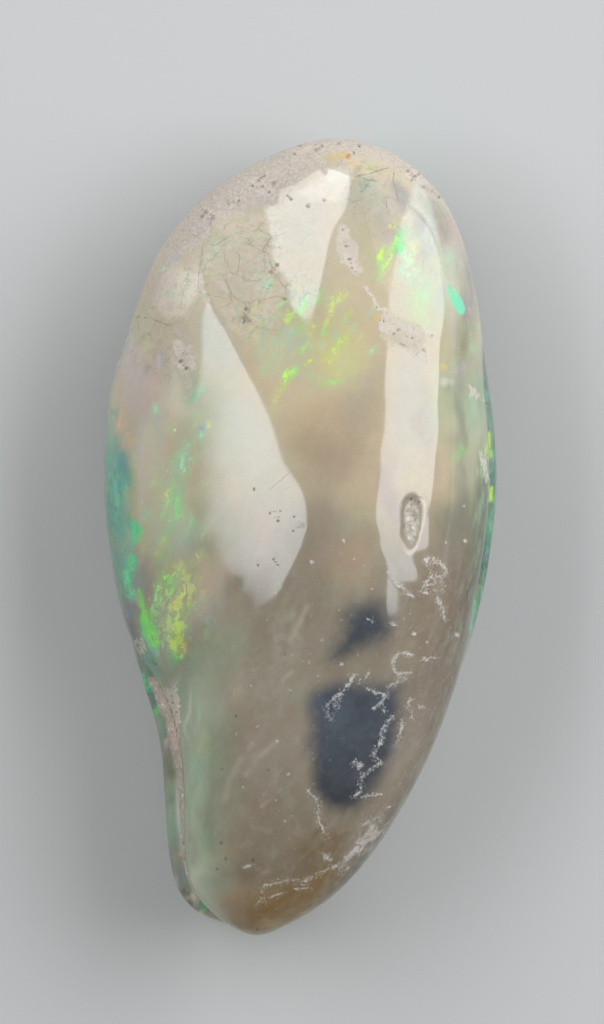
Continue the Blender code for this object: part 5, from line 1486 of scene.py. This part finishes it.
        split_open = s.mul(line("crack", 4.0, .8), s.between(s.noise(1.8, 3.0), .40, .58, .10, 1.0))
        colour = s.mix(s.mul(split_open, .58), colour, TONES["hairline"] * .66)
        scratch = s.mul(line("scratch", .8), s.between(s.noise(1.6, 3.0), .46, .64))
        colour = s.mix(s.mul(scratch, .14), colour, TONES["white"])
        chipping = s.noise(6.0, 3.0, .70)
        white = s.mul(line("bruise", 5.5, 1.0, 4.0), s.between(chipping, .41, .55, .22, 1.0))
        white = s.mul(white, s.between(s.noise(1.6, 3.0), .38, .60, .30, 1.0))
        halo = s.mul(s.between(s.split(s.attr("bruise", "Vector"))[1], .5, 7.0, 1.0, 0.0), s.between(chipping, .57, .64))
        white = s.top(white, s.mul(halo, .75))
        colour = s.mix(s.mul(white, .72), colour, TONES["white"] * .95)
        spot = s.split(s.attr("speck", "Vector"))
        wide = s.math("SQRT", s.add(s.mul(spot[0], spot[0]), s.mul(spot[1], spot[1])))
        wide = s.add(s.add(wide, s.mul(s.sub(chipping, .5), 3.2)), s.mul(s.sub(grit, .5), 2.0))
        spotted = s.mul(s.between(wide, .30, 1.5, 1.0, 0.0), s.between(s.attr("speck_near"), 4.5, 6.5, 1.0, 0.0))
        colour = s.mix(s.mul(spotted, .60), colour, s.attr("speck_tone", "Color"))
        rise = s.add(rise, s.mul(s.between(s.split(s.attr("bruise", "Vector"))[1], .5, 3.0, 1.0, 0.0), s.mul(grit, .012)))
        dull = s.top(dull, s.mul(white, .8))
        dull = s.top(dull, s.mul(spotted, .7))

    # chips and scuffs from wear
    wear = s.attr("wear")
    chipped = s.mul(s.between(s.noise(3.4, 2.0, where=s.vector("ADD", s.mm, (5.0, 14.0, 3.0))), .70, .76), wear)
    colour = s.mix(s.mul(chipped, .34), colour, TONES["bone"])
    scuff = s.mul(s.between(s.noise(1.0, 3.0, .65, where=turned(s, -50.0, (.30, .95, .6))), .50, .72), wear)
    colour = s.mix(s.mul(scuff, .12), colour, TONES["ash"])
    mottle = s.mul(s.between(s.noise(1.5, 3.0, .65, where=s.vector("ADD", s.mm, (21.0, 2.0, 9.0))), .50, .66), wear)
    colour = s.mix(s.mul(mottle, .12), colour, TONES["ash"])

    s.put(s.shader.inputs["Base Color"], colour)
    matte = s.attr("matte")
    gloss = s.add(s.mul(s.noise(.9, 2.0), .05), .05)
    gloss = s.add(gloss, s.mul(crazed, .12))
    gloss = s.add(gloss, s.mul(matte, s.add(s.mul(s.noise(3.0, 2.0), .12), .34)))
    gloss = s.add(gloss, s.between(dull, 0.0, 1.0, 0.0, .55))
    s.put(s.shader.inputs["Roughness"], s.math("MINIMUM", gloss, .88))
    lost = s.add(s.add(s.mul(dull, .85), s.mul(s.attr("turned_down"), .82)), s.add(s.mul(crazed, .4), s.mul(matte, .85)))
    s.put(s.shader.inputs["Coat Weight"], s.math("MAXIMUM", s.sub(.85, lost), 0.0))
    s.shader.inputs["Coat Roughness"].default_value = .045
    s.shader.inputs["Coat IOR"].default_value = 1.46
    s.shader.inputs["IOR"].default_value = 1.45
    rise = s.add(rise, s.mul(grit, s.add(s.mul(dust, .005), s.add(s.mul(matte, .0014), .0002))))
    s.put(s.shader.inputs["Normal"], s.bump(rise))
    return s.material


def matrix_look():
    s = Surface("matrix_rock")
    stone, rise = rock_look(s, 5.5, .15)
    # painted shade: the hollows between the grains are darkened
    stone = s.mix(s.between(s.attr("relief"), .2, .6, .5, 0.0), stone, TONES["mouse"] * .6)
    s.put(s.shader.inputs["Base Color"], stone)
    s.put(s.shader.inputs["Roughness"], s.between(s.noise(5.0, 2.0), .3, .7, .68, .9))
    s.put(s.shader.inputs["Normal"], s.bump(rise))
    s.shader.inputs["IOR"].default_value = 1.45
    return s.material


front.data.materials.append(opal_look("front_opal", True))
back.data.materials.append(opal_look("back_opal", False))
matrix.data.materials.append(matrix_look())
for piece, node, slot in ((front, "front_valve", "opal_front"), (back, "back_valve", "opal_back"),
                          (matrix, "seam_matrix", "matrix")):
    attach(piece, "root")
    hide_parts(node)

# ====================================================================== stage
floor_mesh = bpy.data.meshes.new("floor")
floor_mesh.from_pydata([(-4, -4, 0), (4, -4, 0), (4, 4, 0), (-4, 4, 0)], [], [(0, 1, 2, 3)])
floor = bpy.data.objects.new("floor", floor_mesh)
bpy.context.scene.collection.objects.link(floor)
ground = bpy.data.materials.new("floor")
ground.use_nodes = True
ground.node_tree.nodes["Principled BSDF"].inputs["Base Color"].default_value = (.60, .58, .56, 1.0)
ground.node_tree.nodes["Principled BSDF"].inputs["Roughness"].default_value = .9
ground.node_tree.nodes["Principled BSDF"].inputs["Specular IOR Level"].default_value = .2
floor_mesh.materials.append(ground)
floor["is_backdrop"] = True

world = bpy.data.worlds.new("studio")
bpy.context.scene.world = world
world.use_nodes = True
sky = world.node_tree
sky.nodes["Background"].inputs["Color"].default_value = (.97, .99, 1.0, 1.0)
# paler towards the horizon, where it meets the floor
parts = sky.nodes.new("ShaderNodeSeparateXYZ")
sky.links.new(sky.nodes.new("ShaderNodeTexCoord").outputs["Generated"], parts.inputs[0])
rise = sky.nodes.new("ShaderNodeMapRange")
rise.interpolation_type = "SMOOTHSTEP"
rise.inputs["From Max"].default_value = .30
rise.inputs["To Min"].default_value, rise.inputs["To Max"].default_value = .42, .22
sky.links.new(parts.outputs[2], rise.inputs["Value"])
sky.links.new(rise.outputs["Result"], sky.nodes["Background"].inputs["Strength"])


def panel(name, x0, x1, y0, y1, z, radiance, fade=None):
    """A soft overhead panel; fade wires how bright it is from the place on it."""
    light = bpy.data.lights.new(name, "AREA")
    light.shape = "RECTANGLE"
    light.size, light.size_y = abs(x1 - x0), abs(y1 - y0)
    light.energy = radiance * math.pi * light.size * light.size_y
    light.color = (.905, .965, 1.03)
    made = bpy.data.objects.new(name, light)
    bpy.context.scene.collection.objects.link(made)
    made.location = ((x0 + x1) / 2, (y0 + y1) / 2, z)
    made.visible_camera = False
    if fade:
        light.use_nodes = True
        tree = light.node_tree
        parts = tree.nodes.new("ShaderNodeSeparateXYZ")
        tree.links.new(tree.nodes.new("ShaderNodeNewGeometry").outputs["Position"], parts.inputs[0])

        def sum_of(how, *values):
            step = tree.nodes.new("ShaderNodeMath")
            step.operation = how
            for socket, value in zip(step.inputs, values):
                if isinstance(value, bpy.types.NodeSocket):
                    tree.links.new(value, socket)
                else:
                    socket.default_value = value
            return step.outputs[0]

        span = tree.nodes.new("ShaderNodeMapRange")
        span.interpolation_type = "SMOOTHSTEP"
        tree.links.new(parts.outputs[0], span.inputs["Value"])
        low, high = fade(sum_of, parts.outputs[1])
        for socket, value in (("From Min", low), ("From Max", high)):
            if isinstance(value, bpy.types.NodeSocket):
                tree.links.new(value, span.inputs[socket])
            else:
                span.inputs[socket].default_value = value
        tree.links.new(span.outputs["Result"], tree.nodes["Emission"].inputs["Strength"])
    return made


def left_fade(sum_of, y):
    """The panel dims outwards, and sooner at its low end."""
    low_end = sum_of("MAXIMUM", sum_of("MULTIPLY", y, -1.0), 0.0)
    start = sum_of("MULTIPLY_ADD", low_end, 3.5, -.62)
    return start, sum_of("ADD", start, sum_of("MULTIPLY_ADD", low_end, -2.2, .32))


panel("panel_left", -.70, -.205, -.09, 1.20, .36, 3.99, left_fade)
panel("panel_right", .205, .98, -.09, 1.20, .36, 3.69)
panel("panel_far", .98, 2.20, .33, 2.00, .36, 3.20, lambda sum_of, y: (2.20, 1.10))

bpy.context.scene.view_settings.view_transform = "Standard"

low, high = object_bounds()
